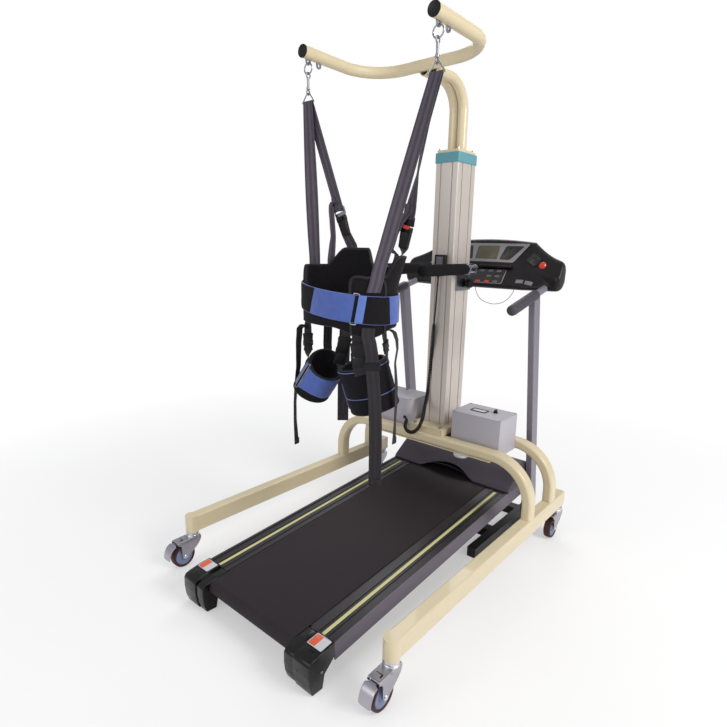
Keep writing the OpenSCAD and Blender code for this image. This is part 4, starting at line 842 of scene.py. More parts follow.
# One side, i 0 left or 1 right, under the link at x; d runs down the far strap, across its width, out of its face
def hangSide(i, x):
    wide, skinOut, back, returned = strapForm["wide"], strapForm["out"], strapForm["back"][i], strapForm["return"][i]
    far, end = np.array([x, strapForm["farY"], strapForm["footZ"]]), backEnd(back, -4.0)
    d = unit(end - far)
    across = unit(xWay - d * np.dot(xWay, d))
    out = np.cross(d, across)
    tongue = far + (end - far) * strapForm["tongue"][i]

    def off(along, outward=0.0, left=0.0):  # from the tongue
        return tongue + d * along + out * outward - xWay * left

    def behind(t, down):  # the left ones are sewn to the outside
        return backEnd(t, down) + (0.0 if i else strapForm["outside"]) * outOfVest(t)

    if i == 0:
        lower = [onVest(170, skinOut, 1218.0), onVest(170, skinOut, 1272.0)]
        turns = [-roundVest(170), -roundVest(170)]
    else:
        lower = [onVest(328, skinOut, 1179.5), onVest(331, skinOut + 1, 1210.0), onVest(333, skinOut + 2, 1241.0)]
        turns = [roundVest(328), roundVest(331), roundVest(333)]
    # over the link's bar: half a circle about its middle
    a, bend = np.linspace(np.pi, 0, 7), strapForm["bend"]
    hoop = np.stack([np.full(7, x), strapForm["barY"] + bend * np.cos(a), strapForm["barZ"] + bend * np.sin(a)], 1)
    rise, fall = (np.array([x, strapForm["barY"] + k * bend, strapForm["footZ"]]) for k in (-1, 1))
    edgeOn = np.array([0.68, -0.73, 0]) if i else xWay
    way = tongue - fall
    strapSkins.append(strap(lower + [rise], turns + [xWay], wide, sub=6, sheared=True))
    strapSkins.append(strap(np.concatenate([[rise], hoop, [fall]]), [xWay] * 9, wide, step=1.5, sub=2))
    strapSkins.append(strap([fall, fall + way * 0.3, fall + way * 0.62, off(-44), off(-20)],
                            [xWay, edgeOn + xWay * 0.3, edgeOn, xWay, xWay], wide, sheared=True))
    strapSkins.append(strap([off(70), behind(back, -6.0), behind(back, 46.0)],
                            [across, -roundVest(back), -roundVest(back)], strapForm["backWide"]))
    slack = [off(*step) for step in strapForm["slack"][i]] + [behind(returned, -6.0), behind(returned, 50.0)]
    strapSkins.append(strap(slack, [xWay] * 5 + [-roundVest(returned)] * 2, strapForm["slackWide"], sub=3))
    # folded end of the far strap, sewn back on itself
    strapSkins.append(strap([off(-24, 2), off(-26, 3.2), off(-78, 3.0)], [xWay] * 3, strapForm["foldWide"], sub=3))
    # buckle: frame or socket, tongue, body full below the button, cheeks and a back wall beside it
    here = np.stack([across, out, d])
    if i == 0:
        buckleSkins.append(plateRing(roundOutline(60, 36, 5), roundOutline(48, 7, 2), 4.0, off(-18),
                                     np.stack([across, d, out]), 1))
    else:
        buckleSkins.append(block(off(-22), 56, 11, 34, 5, 3, here, 0, (0.92, 1.0)))
    buckleSkins.append(block(off(2), 24, 3, 20, 1, 0.5, here, 1))
    buckleSkins.append(block(off(47), 46, 22, 62, 8, 4, here, 0, (1.0, 0.86)))
    buckleSkins.append(block(off(9, -3.6), 46, 14.4, 19, 6, 2.5, here))
    for cheek in (-19.2, 19.2):
        buckleSkins.append(block(off(10, 5) + across * cheek, 7.2, 11, 19, 3, 2, here))


for i, s in enumerate((-1, 1)):
    hangSide(i, strapForm["x"] * s)
piece("harnessStraps", strapSkins, [webbingGrey], "harness", "harness_straps", 60)
piece("buckleBodies", buckleSkins, [blackPlastic, chromePlate], "harness", "buckle_bodies", 40)
print("stage: straps and buckles")

# Webbing of the cuffs; each row of clip is a block of a side release buckle: share of its length, side,
# width, depth, share of its height, corner, edge, taper
webForm = {"hem": 8.96, "sewn": 9.85, "arms": 0.44,
           "clip": [(0.31, 0, 1.0, 9, 0.57, 4, 2.2, (1.0, 0.9)), (0.8, 0, 0.86, 7.5, 0.4, 3.5, 2.0, (0.86, 1.08)),
                    (0.56, 0, 0.46, 5.5, 0.24, 2.5, 1.5, None), (0.57, -1, 0.12, 6.5, 0.3, 2, 1.4, None),
                    (0.57, 1, 0.12, 6.5, 0.3, 2, 1.4, None), (0.1, 0, 1.04, 11, 0.07, 3, 2, None)]}
toLens, pastLens = np.array([0.76, 0.65, 0]), np.array([-0.65, 0.76, 0])
webSkins = []


# Web from angle t on the vest to angle u on a cuff; clip is the stretch that a buckle of that size covers,
# middle the direction of the width there
def cuffWeb(t, form, u, w, clip=None, size=0.0, middle=None):
    inset = -webForm["hem"] - 0.4 - w * w / 8 / vestBend(t)
    low, rim, place = vestLow(t), form["high"](u), onCuff(form)
    a, b = onVest(t, inset, low + 20), onVest(t, inset, low - 8)
    c, e = place(u, webForm["sewn"], rim - 6), place(u, webForm["sewn"], rim - 26)
    wide, wall = roundVest(t), np.array([-math.sin(math.radians(u)), math.cos(math.radians(u)), 0])
    if clip is None:
        webSkins.append(strap([a, b, c, e], [wide, wide, wall, wall], w))
        return
    x = wide * 0.5 + wall * 0.5 if middle is None else middle
    webSkins.append(strap([a, b, b + (c - b) * (clip[0] + 0.04)], [wide, wide * 0.4 + x * 0.6, x], w))
    webSkins.append(strap([b + (c - b) * (clip[1] - 0.04), c, e], [x, wall, wall], w))
    d, span = unit(c - b), np.linalg.norm(c - b)
    x = unit(x - d * np.dot(x, d))
    here, run = np.stack([x, np.cross(d, x), d]), (clip[1] - clip[0]) * span
    for share, k, broad, deep, tall, r, edge, taper in webForm["clip"]:
        at = b + d * (clip[0] * span + share * run) + x * k * size * webForm["arms"]
        webSkins.append(block(at, size * broad, deep, run * tall, r, edge, here, 1, taper))


# Loose tail: points it hangs through, width, and how far its face turns from the lens at each; sewn end folded up
def tail(points, w, turns):
    points = np.asarray(points, float)
    a = np.radians(np.asarray(turns, float))[:, None]
    wides = np.cos(a) * toLens + np.sin(a) * pastLens
    webSkins.append(strap(points, wides, w, sub=3))
    face = np.cross(wides[-1], zWay)
    end = points[-1] + face * 1.4
    fold = [end, end + face * 1.3 + [0, 0, 2], end + face * 1.3 + [0, 0, 26]]
    webSkins.append(strap(fold, [wides[-1]] * 3, w - 1, sub=3))


leftCuff, rightCuff = cuffForm
cuffWeb(215, leftCuff, 225, 30, (0.3, 0.8), 40, toLens)
cuffWeb(150, leftCuff, 150, 36)
cuffWeb(296, rightCuff, 215, 36, (0.08, 0.84), 50, toLens)
cuffWeb(311, rightCuff, 303, 46, (0.1, 0.92), 60)
cuffWeb(352, rightCuff, 30, 26, (0.3, 0.75), 36)
tail([(-196, -284, 1024), (-212, -290, 1030), (-228, -293, 1014), (-236, -292, 960), (-240, -291, 853),
      (-257, -290, 773), (-264, -290, 690), (-264, -290, 616), (-256, -290, 512)], 26,
     (20, 20, 25, 35, 50, 68, 72, 70, 55))
tail([(-150, -103, 1060), (-152, -105, 980), (-158, -104, 860), (-164, -100, 740), (-166, -98, 592)], 48,
     (-6, -3, 0, 2, 2))
tail([(126, -284, 1052), (130, -291, 1022), (142, -294, 1000), (150, -292, 960), (152, -290, 915), (158, -288, 850),
      (165, -286, 783), (170, -285, 690), (172, -285, 599), (173, -285, 455)], 48, (0, 0, 0, 0, 0, 3, 4, 0, -4, 0))
tail([(152, -206, 1040), (164, -202, 1042), (180, -200, 1034), (192, -200, 1008), (196, -200, 976), (188, -200, 921),
      (196, -200, 841), (198, -200, 760), (196, -200, 701), (194, -200, 606)], 24,
     (70, 60, 50, 60, 70, 72, 60, 64, 70, 52))
# sliding adjuster on the front tail
slide, slideAxes = np.array([152.0, -290, 915]), vestAxes(323)
webSkins.append(plateRing(roundOutline(60, 32, 4), roundOutline(50, 8, 2), 5, slide, slideAxes, 1))
webSkins.append(block(slide + slideAxes[2] * 1.5, 56, 26, 4, 3, 1, slideAxes, 1))
piece("legWebbing", webSkins, [webbingBlack, blackPlastic], "harness", "leg_webbing", 50)
print("stage: cuffs and webbing")

# Foam grips: a round nose and a straight body turned about the handle bars; serrated collars behind them
gripForm = {"x": 92, "nose": 72, "z": 1247, "r": 25, "teeth": 96, "tooth": 1.6,
            "body": [(25, 60), (25, 200), (25, 353), (24.4, 360), (22.8, 365), (20.3, 367.5)],
            "collar": [(20.4, 440), (24.4, 440.6), (25.6, 442), (25.6, 454), (24.4, 455.4), (20.4, 456)]}
nose = np.linspace(0.2, math.pi / 2, 7)
gripLine = np.concatenate([[(0, 0)], gripForm["r"] * np.stack([np.sin(nose), 1 - np.cos(nose)], 1), gripForm["body"]])
barXs = (-gripForm["x"], gripForm["x"])
foam = piece("foamGrips", [turned(gripLine, (x, gripForm["nose"], gripForm["z"]), yWay) for x in barXs], [blackFoam],
             "handles", "foam_grips", 50)
teeth = np.arange(gripForm["teeth"])
toothTurn = teeth * 2 * np.pi / gripForm["teeth"]
collarR, collarY = (v[:, None] for v in np.array(gripForm["collar"]).T)
collarR = collarR + gripForm["tooth"] * (teeth // 3 % 2) * (collarR > gripForm["r"])
collarSkins = [skin(np.stack([x + collarR * np.cos(toothTurn), collarY + 0 * collarR,
                              gripForm["z"] + collarR * np.sin(toothTurn)], -1)) for x in barXs]
piece("gripCollars", collarSkins, [chromePlate], "handles", sharp=25)

# Caster wheels: tread and dished hub
casterForm = {"x": 537.5, "front": -638, "rear": 660, "axle": (0, -51, 50)}
treadLine = [(38, -13), (41, -15.2), (46, -15.6), (48.8, -13.5), (49.8, -8), (50, 0), (49.8, 8), (48.8, 13.5),
             (46, 15.6), (41, 15.2), (38, 13)]
hubLine = [(6.2, -15), (15, -15), (17, -13.5), (19, -9), (30, -7.5), (34, -8.5), (36, -11.5), (38.4, -13), (38.4, 13),
           (36, 11.5), (34, 8.5), (30, 7.5), (19, 9), (17, 13.5), (15, 15), (6.2, 15)]


def casterFoot(place):  # where the middle of the stem meets the floor
    end, side = place.split("_")
    return np.array([casterForm["x"] * (-1 if side == "left" else 1), casterForm[end], 0.0])


for place in casterPlaces:
    axle = casterFoot(place) + casterForm["axle"]
    skins = [turned(treadLine, axle, xWay, 56, 0, True), turned(hubLine, axle, xWay, 48, 1, True)]
    piece("casterWheel_" + place, skins, [wheelTread, wheelHub], "wheel_" + place,
          "caster_wheel_" + place, 30)

# Caster housings: pressed top plate with side cheeks down to the axle, two-step collar and stem
housing = {"half": 23.0, "sheet": 3.0, "front": -84, "back": 27, "top": 121, "neck": 14.5, "lip": 11, "pinX": 19,
           "pinZ": 113}
cheekLine = cutCorners([(-64, 54), (-60, 41), (-50, 37), (-39, 42), (-18, 59), (6, 77), (20, 92), (27, 106),
                        (27, 119.5), (-84, 119.5), (-84, 109), (-72, 105), (-66, 97)], 7)
collarLine = [(0, 120), (26, 120), (27, 121.4), (27, 126.4), (26.2, 128), (24.8, 128.8), (24.8, 130), (26.2, 130.8),
              (26.8, 132.4), (26.6, 137), (25.4, 139.4), (11, 139.6), (9.9, 140), (9.9, 194), (8.4, 195.6), (0, 195.8)]
slotLine = [(-13, -52), (-13, -54), (8, -56), (8, -68), (13, -68), (13, -52)]
boltLine = [(0, 3.9), (5, 3.7), (7.4, 2.8), (8.4, 1.4), (8.4, 0), (6, -0.4), (6, -10)]
pinLine = [(0, 2.4), (2.4, 2.2), (3.8, 1.2), (4.2, 0), (4.2, -2)]


def rod(r, half):  # profile of a plain pin
    return [(0, -half), (r, -half), (r, half), (0, half)]


half, sheet, neck, front, back, top = (housing[k] for k in ("half", "sheet", "neck", "front", "back", "top"))
for place in casterPlaces:
    foot = casterFoot(place)
    axle = foot + casterForm["axle"]
    skins = [block(foot + (0, (back + front) / 2, top - sheet / 2), 2 * half, back - front, sheet, 7, 1.3),
             turned(collarLine, foot, zWay, 48, 1),
             slab(slotLine, 0.8, 0.2, foot + (0, 0, top + 0.1), tone=2),
             turned(rod(6, 20), axle, xWay, 24)]
    for s in (-1, 1):
        lip = foot + (s * (half + neck) / 2, front + sheet / 2, top - 6.5)
        skins += [slab(cheekLine, sheet, 1.2, foot + (s * (half - sheet / 2), 0, 0), sideAxes),
                  turned(boltLine, axle + (s * half, 0, 0), xWay * s, 28, 1),
                  block(lip, half - neck, sheet, housing["lip"], 1.3, 1),
                  turned(pinLine, foot + (s * housing["pinX"], front, housing["pinZ"]), -yWay, 20, 2)]
    piece("casterHousing_" + place, skins, [casterZinc, collarZinc, blackPlastic], "swivel_" + place,
          "caster_fork_" + place, 35)

# Brake pedals: a narrow neck from the pin under the plate, then a broad tread bent down before the wheel
pedalForm = {"neck": 26.0, "tread": 48.0, "sheet": 3.2, "widens": 62.0, "over": 9, "corner": 7.0,
             "line": [(0, -24, 112.6), (0, -50, 112.6), (0, -78, 112.4), (0, -94, 109.5), (0, -107, 101), (0, -116, 87),
                      (0, -121, 72), (0, -123, 56)]}
pedalNeck, corner = pedalForm["neck"], pedalForm["corner"]
for side in ("left", "right"):
    pedalLine = casterFoot("front_" + side) + pedalForm["line"]
    way = smoothLine(pedalLine, 1.5)
    gone = lengths(way)
    spread = pedalNeck + (pedalForm["tread"] - pedalNeck) * ease(gone, pedalForm["widens"], pedalForm["over"])
    lost = np.clip(corner - (gone[-1] - gone), 0, corner)  # the last corners are quarter circles
    spread -= 2 * (corner - np.sqrt(corner**2 - lost**2))
    scale = np.stack([spread / pedalNeck, np.ones(len(way))], 1)
    skins = [carried(way, np.broadcast_to(xWay, way.shape), webProfile(pedalNeck, pedalForm["sheet"]), 0, scale),
             turned(rod(3, 24.6), pedalLine[0], xWay, 20), turned(rod(5, 15), pedalLine[0], xWay, 20)]
    piece("brakePedal_" + side, skins, [casterZinc], "pedal_" + side, "brake_pedal_" + side, 35)

# Snap hooks: open ring with a gate, swivel barrel, eye
hookForm = {"y": -175, "ringZ": 1985, "ringR": 10, "eyeZ": 1923, "eyeR": 8, "wire": 2.8, "gateWire": 2.2,
            "barrelZ": 1931,
            "gate": [(0, -180, 1976.5), (0, -184.6, 1982), (0, -185.4, 1990)],
            "barrel": [(0, 0), (4, 0), (4.5, 2), (7, 3), (7, 11), (5, 13), (4.6, 20), (5.2, 40), (5.6, 46), (0, 47)]}


def wire(path, n, r, closed=False):  # round wire bent in a plane of constant x
    return carried(path, np.broadcast_to(xWay, path.shape), circle(n, r), closed=closed)


def bow(x, angles, r, z):  # arc of that radius round the hook's middle line
    return np.stack([x + 0 * angles, hookForm["y"] + r * np.cos(angles), z + r * np.sin(angles)], 1)


hookXs = (-strapForm["x"], strapForm["x"])
hookSkins = []
for x in hookXs:
    ring = bow(x, np.radians(np.linspace(-60, 258, 40)), hookForm["ringR"], hookForm["ringZ"])
    eye = bow(x, np.arange(32) * 2 * np.pi / 32, hookForm["eyeR"], hookForm["eyeZ"])
    gate = smoothLine(np.array(hookForm["gate"]) + (x, 0, 0), 2)
    hookSkins += [wire(ring, 12, hookForm["wire"]), wire(gate, 10, hookForm["gateWire"]),
                  turned(hookForm["barrel"], (x, hookForm["y"], hookForm["barrelZ"]), zWay, 28),
                  wire(eye, 12, hookForm["wire"], True)]
piece("snapHooks", hookSkins, [zincPlate], "harness", "snap_hooks", 40)

# Yoke end caps: dished discs
capLine = [(0, 1.6), (10, 1.8), (17, 2.6), (20, 3.8), (22.2, 4), (23.6, 3.2), (24, 2), (24, 0), (20, -1)]
piece("yokeEndCaps", [turned(capLine, (x, -203, 2064), -yWay) for x in hookXs], [blackPlastic], "lift",
      "yoke_end_caps", 30)
print("stage: grips, casters, hooks")

# Boxes on the shelf: case, lid, screws; the control box has a framed blank plate, the supply box one round corner
controlForm = {"x": 245, "y": 429, "size": (246, 170), "caseZ": 512, "lidZ": 598.6, "topZ": 600, "plate": (220, 427),
               "knob": (289.3, 449.4), "screws": ((131, 359), (353, 505))}
supplyForm = {"x": -234, "y": 429, "caseZ": 513.4, "lidZ": 600.8, "topZ": 602, "round": 30, "button": (-244, 490),
              "cord": (-148, 343.9, 505), "screws": ((-350, -122), (354, 505))}
screwLine = [(0, 2.4), (2.6, 2.2), (4, 1.4), (4.4, 0), (4.4, -1)]
knobLine = [(0, 3), (10, 3), (11.5, 2), (12, 0), (12, -1)]
buttonLine = [(0, 1.6), (9, 1.6), (11, 1), (11.5, 0), (11.5, -1)]
glandLine = [(0, 4), (5, 4), (8.5, 2.5), (9, 0), (9, -1)]


def lidScrews(form, tone):  # one at each corner
    xs, ys = form["screws"]
    return [turned(screwLine, (x, y, form["topZ"]), zWay, 20, tone) for x in xs for y in ys]


x, y = controlForm["x"], controlForm["y"]
control = [block((x, y, controlForm["caseZ"]), *controlForm["size"], 170, 3, 2),
           block((x, y, controlForm["lidZ"]), *controlForm["size"], 2.8, 3, 1.2),
           plateRing(roundOutline(78, 44, 3), roundOutline(66, 32, 1.5), 3.0, (*controlForm["plate"], 601.5),
                     np.eye(3), 1),
           block((*controlForm["plate"], 600.6), 67, 33, 1.6, 1, 0.4, tone=2)]
control += lidScrews(controlForm, 3) + [turned(knobLine, (*controlForm["knob"], controlForm["topZ"]), zWay, 28, 1)]
piece("controlBox", control, [boxPaint, blackPlastic, patchPale, zincPlate], "frame", "control_box", 35)
x, y, r = supplyForm["x"], supplyForm["y"], supplyForm["round"]
bent = np.linspace(-np.pi / 2, 0, 9)
supplyLine = np.concatenate([[[-358, 344]], np.stack([-140 + r * np.cos(bent), 374 + r * np.sin(bent)], 1),
                             [[-110, 514], [-358, 514]]]) - [x, y]
supply = [slab(supplyLine, 172, 1.5, (x, y, supplyForm["caseZ"])), slab(supplyLine, 2.6, 1, (x, y, supplyForm["lidZ"])),
          turned(buttonLine, (*supplyForm["button"], supplyForm["topZ"]), zWay, 28),
          turned(glandLine, supplyForm["cord"], -yWay, 28, 1)] + lidScrews(supplyForm, 2)
piece("supplyBox", supply, [boxPaint, blackPlastic, zincPlate], "frame", "supply_box", 35)

# Pendant: tapered case, cord sleeve, key plate
pendantForm = {"case": (0, 373.3, 1265), "sleeve": (-10, 373, 1220), "plate": (0, 361.5, 1270.4)}
sleeveLine = [(0, -12), (5, -12), (6.5, -10), (6.8, 0), (7, 3)]
pendant = [block(pendantForm["case"], 60, 24, 90, 8, 4, taper=(0.94, 1.0)),
           turned(sleeveLine, pendantForm["sleeve"], zWay, 24),
           block(pendantForm["plate"], 34, 1.6, 62, 0.7, 0.6, tone=1)]
piece("pendantBody", pendant, [blackPlastic, greyPlastic], "frame", "pendant_body", 35)
print("stage: boxes and pendant")

# Treadmill: deck frame tilted about x
deckForm = {"tilt": 3.4, "start": (22.0, -698.0, 125.0), "stripe": (13, 1176, 1.4), "stripeX": 282.5}
tilt = math.radians(deckForm["tilt"])
deckAxes = leaning(math.cos(tilt), math.sin(tilt))
treadX = deckForm["start"][0]


def onDeck(x, y, z):  # deck place to the shared frame
    return np.stack(np.broadcast_arrays(*(np.asarray(v, float) for v in (x, y, z))), -1) @ deckAxes + deckForm["start"]


piece("railStripes", [block(onDeck(deckForm["stripeX"] * s, 590, 0.9), *deckForm["stripe"], 1.5, 0.5, deckAxes)
                      for s in (-1, 1)], [stripePlastic], "frame")

# Motor hood: profile over the deck; the front edge is lifted in an arch, the sides fall away
hoodForm = {"line": [(0, 0), (1.5, 13), (8, 21), (80, 67), (122, 91), (150, 101), (172, 104), (212, 92), (240, 60),
                     (250, 0)],
            "start": 1200.0, "half": 338.0, "roll": 12, "arch": (325.0, -10.0, -280.0), "opening": 164,
            "skirt": (10, 34), "lift": 0.3, "wall": 0.003}
hoodLine = cutCorners(np.array(hoodForm["line"], float), 5)[2:-2]
gone = lengths(hoodLine)
along, up = (np.interp(np.linspace(0, gone[-1], 160), gone, hoodLine[:, k]) for k in (0, 1))
climb = np.linspace(0, 1, len(along))
u = np.linspace(-1, 1, 121)
hoodX = hoodForm["half"] * np.sign(u) * (1 - (1 - np.abs(u)) ** 1.6)  # columns lie closer towards the sides
archR, archX, archZ = hoodForm["arch"]
archTop = np.maximum(np.sqrt(np.maximum(archR**2 - (hoodX - archX) ** 2, 0)) + archZ, 0)
# each column starts where the profile is as high as the arch
crest = np.argmax(up)
first = np.interp(archTop, up[:crest], climb[:crest])[None]
rows = first + (1 - first) * np.linspace(0, 1, 70)[:, None]
hoodY, hoodZ = np.interp(rows, climb, along), np.interp(rows, climb, up)
fromSide = np.abs(hoodX)[None]
edgeDrop = np.clip((fromSide - hoodForm["half"] + hoodForm["roll"]) / hoodForm["roll"], 0, 1)
hoodZ = hoodZ * (1 - 0.16 * (1 - np.sqrt(1 - edgeDrop**2)))
crease = 1.6 * np.exp(-((fromSide - 250 + 0.25 * (hoodY - 60)) / 3.0) ** 2) * ramp(hoodY, 40, 30)
hoodZ = np.maximum(hoodZ - crease, 0)
down = np.linspace(0, 1, 12)[:, None]
hoodY = hoodForm["start"] + hoodY
hoodSheets = [onDeck(hoodX, hoodY, hoodZ + hoodForm["lift"])]
hoodSheets += [onDeck(hoodX[k], hoodY[:, k], hoodZ[:, k] * (1 - down) + hoodForm["lift"]) for k in (0, -1)]
opening = np.abs(hoodX - archX) < hoodForm["opening"]
skirtIn, skirtDeep = hoodForm["skirt"]
hoodSheets.append(onDeck(hoodX[opening], hoodForm["start"] + skirtIn + skirtDeep * down,
                         archTop[opening] * (1 - down) + 3 * down + 2.5))
hoodSkins = [skin(sheet, roundCols=False, tone=tone) for sheet, tone in zip(hoodSheets, (0, 0, 0, 1))]
hood = piece("motorHood", hoodSkins, [hoodPlastic, blackPlastic], "frame", "motor_hood", 28)
thicken = hood.modifiers.new("wall", "SOLIDIFY")
thicken.thickness, thicken.offset = hoodForm["wall"], -1

# Pale plug under the shelf
plugLine = [(0, -16), (26, -16), (33, -13), (35, -8), (35, -0.4), (0, -0.4)]
piece("shelfPlug", [turned(plugLine, (204, 306, 421), zWay)], [patchPale], "frame", sharp=30)

# End caps: side outline carried across, with a lower inner shoulder, blank patches, foot pad and screws
capForm = {"middle": (-755.0, 66.0), "out": 304, "inner": 246, "wide": 74, "innerWide": 46, "edge": 1.8,
           "corners": [(-698.4, 84), (-698.4, 134), (-745, 131), (-790, 123), (-805, 117.5), (-811.5, 107), (-812, 70),
                       (-807, 32), (-797, 3), (-753, 0), (-744, 46)]}
capCorners = np.array(capForm["corners"]) - capForm["middle"]
patchAxes, padAxes = leaning(0.997, 0.0775), leaning(0.988, 0.154)
capSkins = []
for s in (-1, 1):
    patch = np.array([treadX + s * capForm["out"], -731, 132.5])
    capSkins += [slab(cutCorners(capCorners, 3), capForm["wide"], capForm["edge"],
                      (treadX + s * capForm["out"], *capForm["middle"]), sideAxes),
                 slab(cutCorners(capCorners * [0.96, 0.93] + [1.6, -4], 3), capForm["innerWide"], capForm["edge"],
                      (treadX + s * capForm["inner"], *capForm["middle"]), sideAxes),
                 block(patch, 62, 50, 0.9, 3, 0.3, patchAxes, 1),
                 block(patch + [-14.5, 0, 0.3], 28, 45, 0.9, 1.5, 0.3, patchAxes, 2),
                 block((treadX + s * 300, -776, 125.4), 46, 26, 2.4, 8, 1.1, padAxes),
                 turned([(0, 1.6), (3, 1.5), (4.6, 0.6), (5, -1)], (treadX + s * 341, -757, 62), xWay * s, 20, 3),
                 turned([(0, 0.3), (4, 0.4), (5, -1)], (treadX + s * 290, -811.6, 74), -yWay, 20, 4)]
piece("endCaps", capSkins, [glossBlack, patchPale, patchOrange, zincPlate, blackPlastic], "frame",
      "end_caps", 35)

# Hand rails: tube with a rounded grip, from the grip's end up to the console
railForm = {"x": 358, "start": (332.0, 1088.0), "end": (690.0, 1172.0)}
railWay = np.subtract(railForm["end"], railForm["start"])
railLong = float(np.hypot(*railWay))
tube = [(0, 10), (15.9, 10), (16, 12), (16, railLong), (0, railLong)]
hold = [(0, -8), (9, -7), (16.5, -3), (21.5, 4), (23, 14), (23, 40), (22.4, 42), (22.4, 46), (23, 48), (23, 234),
        (22, 241), (19, 245), (16.1, 246)]
railSkins = []
for s in (-1, 1):
    start = (treadX + railForm["x"] * s, *railForm["start"])
    railSkins += [turned(tube, start, (0, *railWay), 32), turned(hold, start, (0, *railWay), 36, 1)]
piece("handRails", railSkins, [uprightPaint, gripRubber], "frame", "handrails", 40)

# Console: section lofted from the middle to the tips of its wings; the top edge is arched
consoleForm = {"middle": [(630, 1168), (697, 1250), (704, 1262), (768, 1384), (790, 1391), (812, 1370), (812, 1210),
                          (722, 1152), (645, 1152)],
               "tip": [(664, 1166), (657, 1190), (656, 1215), (700, 1284), (726, 1290), (744, 1262), (738, 1190),
                       (706, 1158), (680, 1152)],
               "half": 424.0, "wing": 250.0, "arch": 16.0, "round": 26, "corner": 14}
mid, tip = np.array(consoleForm["middle"], float), np.array(consoleForm["tip"], float)
lipFace, mainFace = 0, 2


def section(x):  # corners at distance x from the middle; the wing drops fast, then flattens
    blend = 1 - (1 - ramp(x, consoleForm["wing"], consoleForm["half"] - consoleForm["wing"])) ** 1.5
    corners = mid * (1 - blend) + tip * blend
    corners[3:6, 1] -= consoleForm["arch"] * min(x / consoleForm["wing"], 1) ** 2 * (1 - blend)
    return corners


wingEnd = consoleForm["half"] - consoleForm["round"]
stations = np.concatenate([np.linspace(0, consoleForm["wing"], 18), np.linspace(256, wingEnd, 22),
                           wingEnd + consoleForm["round"] * np.sin(np.linspace(0.2, np.pi / 2, 8))])
rims = np.stack([cutCorners(section(x), consoleForm["corner"]) for x in stations])
shrink = 0.72 + 0.28 * np.sqrt(1 - ramp(stations, wingEnd, consoleForm["round"]) ** 2)  # the tips are rounded off
centres = rims.mean(1, keepdims=True)
rims = centres + (rims - centres) * shrink[:, None, None]
rightHalf = np.concatenate([np.broadcast_to(stations[:, None, None], rims.shape[:2] + (1,)), rims], -1)
consoleSkins = [skin(np.concatenate([rightHalf[:0:-1] * [-1, 1, 1], rightHalf]) + [treadX, 0, 0])]


# A place on one face of the console, share v up that face, and the face's axes there
def onFace(face, x, v, lift):
    def place(x, v):
        corners = section(abs(x - treadX))
        return np.array([x, *(corners[face] * (1 - v) + corners[face + 1] * v)])
    along, up = unit(place(x + 4, v) - place(x - 4, v)), unit(place(x, v + 0.05) - place(x, v - 0.05))
    outward = unit(np.cross(along, up))
    return place(x, v) + outward * lift, np.stack([along, np.cross(outward, along), outward])


def panel(face, outline, x, v, lift, thick, r, tone, edge=0.6):  # thin plate that lies on a face
    centre, local = onFace(face, x, v, lift)
    return slab(cutCorners(np.asarray(outline, float), r), thick, edge, centre, local, tone)


def oblong(w, h):  # plain rectangle about its middle
    return [(-w / 2, -h / 2), (w / 2, -h / 2), (w / 2, h / 2), (-w / 2, h / 2)]


# Silver plate with a display and two dark windows, key strip on the lip, two small plates, cup holder, stop ring
plate = [(-150, -52), (150, -52), (212, 50), (-212, 50)]
window = np.array([(74, -38), (128, -38), (186, 36), (92, 36)], float)
keys = [(x, v, 4) for x in (-56, -12, 140) for v in (0.2, 0.5, 0.8)]
keys += [(96, 0.5, 4), (96, 0.8, 4), (48, 0.8, 4), (96, 0.2, 5), (48, 0.2, 5)]
stopAt, stopWay = np.array([349, 699, 1267]), np.array([0, -0.9135, 0.4067])
stopLine = [(20, -2), (27, -1), (28.5, 1.5), (27, 4), (22, 5), (18, 4.6)]
consoleSkins += [panel(mainFace, plate, 45, 0.5, 0.4, 3, 10, 1, 1.2),
                 panel(mainFace, oblong(120, 72), 45, 0.5, 2.2, 2, 3, 2),
                 panel(mainFace, window, 45, 0.5, 2.2, 2, 8, 3),
                 panel(mainFace, (window * [-1, 1])[::-1], 45, 0.5, 2.2, 2, 8, 3),
                 panel(lipFace, oblong(270, 84), 42, 0.5, 0.4, 2, 8, 1),
                 panel(lipFace, oblong(264, 78), 42, 0.5, 0.9, 2.2, 7, 3),
                 block((34, 693, 1257), 330, 18, 11, 4, 3)]
consoleSkins += [panel(lipFace, oblong(25, 12), x, v, 2.0, 2.4, 6, tone) for x, v, tone in keys]
consoleSkins += [panel(lipFace, oblong(36, 20), x, 0.3, 0.6, 1.6, 2, 1) for x in (262, 306)]
centre, local = onFace(mainFace, 296, 0.42, 1.0)
consoleSkins += [plateRing(roundOutline(74, 58, 12), roundOutline(64, 48, 9), 5, centre, local),
                 slab(roundOutline(65, 49, 9), 1.6, 0.4, centre, local, 3),
                 turned(stopLine, stopAt - stopWay * 4, stopWay)]
piece("console", consoleSkins, [consolePlastic, silverPanel, displayGlass, darkGlass, greyPlastic, redPlastic], "frame",
      "console", 32)
print("stage: treadmill and console")

# Floor and world: plain studio, white where the camera sees past the object
studio = {"half": 14, "z": -0.0006, "fadeFrom": 1.1, "fade": 0.55, "nearWhite": 0.4, "fill": 0.48}
floorData = bpy.data.meshes.new("studioFloor")
floorData.from_pydata([(studio["half"] * i, studio["half"] * k, studio["z"])
                       for i, k in ((-1, -1), (1, -1), (1, 1), (-1, 1))], [], [(0, 1, 2, 3)])
floor = linked("studioFloor", floorData)
ground = bpy.data.materials.new("studioGround")
world = bpy.data.worlds.new("studioWorld")
floorData.materials.append(ground)
scene.world = world


def cleared(owner):  # its node tree, emptied
    owner.use_nodes = True
    owner.node_tree.nodes.clear()
    return owner.node_tree


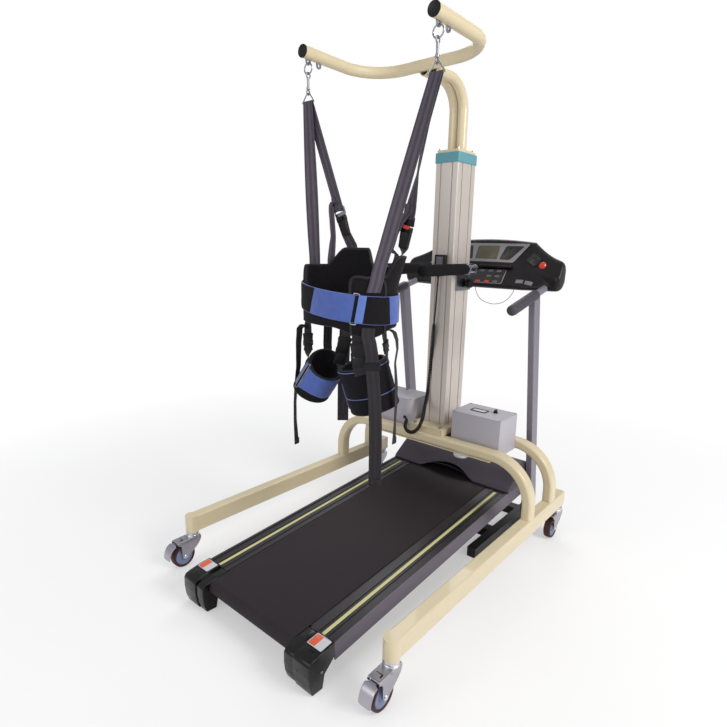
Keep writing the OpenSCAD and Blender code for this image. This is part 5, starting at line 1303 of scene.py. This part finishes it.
def surfaced(tree, kind, first, second, factor):  # output of two shaders mixed by a factor
    mixed = node(tree, "ShaderNodeMixShader", None, {0: factor, 1: first, 2: second})
    sink = tree.nodes.new(kind)
    tree.links.new(mixed.out, sink.inputs["Surface"])


tree = cleared(ground)
x, y, _ = axes(tree, spot(tree))
far = ((x * x + y * y) ** 0.5 - studio["fadeFrom"]) * studio["fade"]
cameraRay = node(tree, "ShaderNodeLightPath")
plainFloor = node(tree, "ShaderNodeBsdfDiffuse", None, {"Color": tint(252, 252, 252)})
whiteFloor = node(tree, "ShaderNodeEmission", None, {"Color": (1, 1, 1, 1), "Strength": 1.0})
surfaced(tree, "ShaderNodeOutputMaterial", plainFloor, whiteFloor,
         (far.clamped() * (1 - studio["nearWhite"]) + studio["nearWhite"]) * cameraRay)
tree = cleared(world)
fill = node(tree, "ShaderNodeBackground", None, {"Color": (0.96, 0.97, 1.0, 1), "Strength": studio["fill"]})
white = node(tree, "ShaderNodeBackground", None, {"Color": (1, 1, 1, 1), "Strength": 1.0})
surfaced(tree, "ShaderNodeOutputWorld", fill, white, node(tree, "ShaderNodeLightPath"))

# Lamps: place and aim in metres, power in watts
lampForm = {"keyLight": {"place": (4.5, 0.3, 3.5), "aim": (0, 0, 0.8), "size": (2.2, 2.2), "power": 158,
                         "colour": (1, 0.98, 0.95)},
            "fillLight": {"place": (-0.4, -3.8, 2.3), "aim": (0, 0, 0.8), "size": (2.8, 2.2), "power": 36,
                          "colour": (1, 1, 1)},
            "rimLight": {"place": (-1.6, 2.6, 3.4), "aim": (0, 0, 1.0), "size": (2.4, 1.6), "power": 36,
                         "colour": (1, 1, 1)}}
lamps = []
for name, form in lampForm.items():
    lamp = bpy.data.lights.new(name, "AREA")
    lamp.shape = "RECTANGLE"
    lamp.size, lamp.size_y = form["size"]
    lamp.energy, lamp.color = form["power"], form["colour"]
    lamps.append(linked(name, lamp))
    z = unit(np.subtract(form["place"], form["aim"]))
    x = unit(np.cross(zWay, z))
    stood(lamps[-1], x, np.cross(z, x), z, form["place"])
scene.view_settings.view_transform = "Standard"
scene.view_settings.look = "None"
print("stage: floor and lamps")
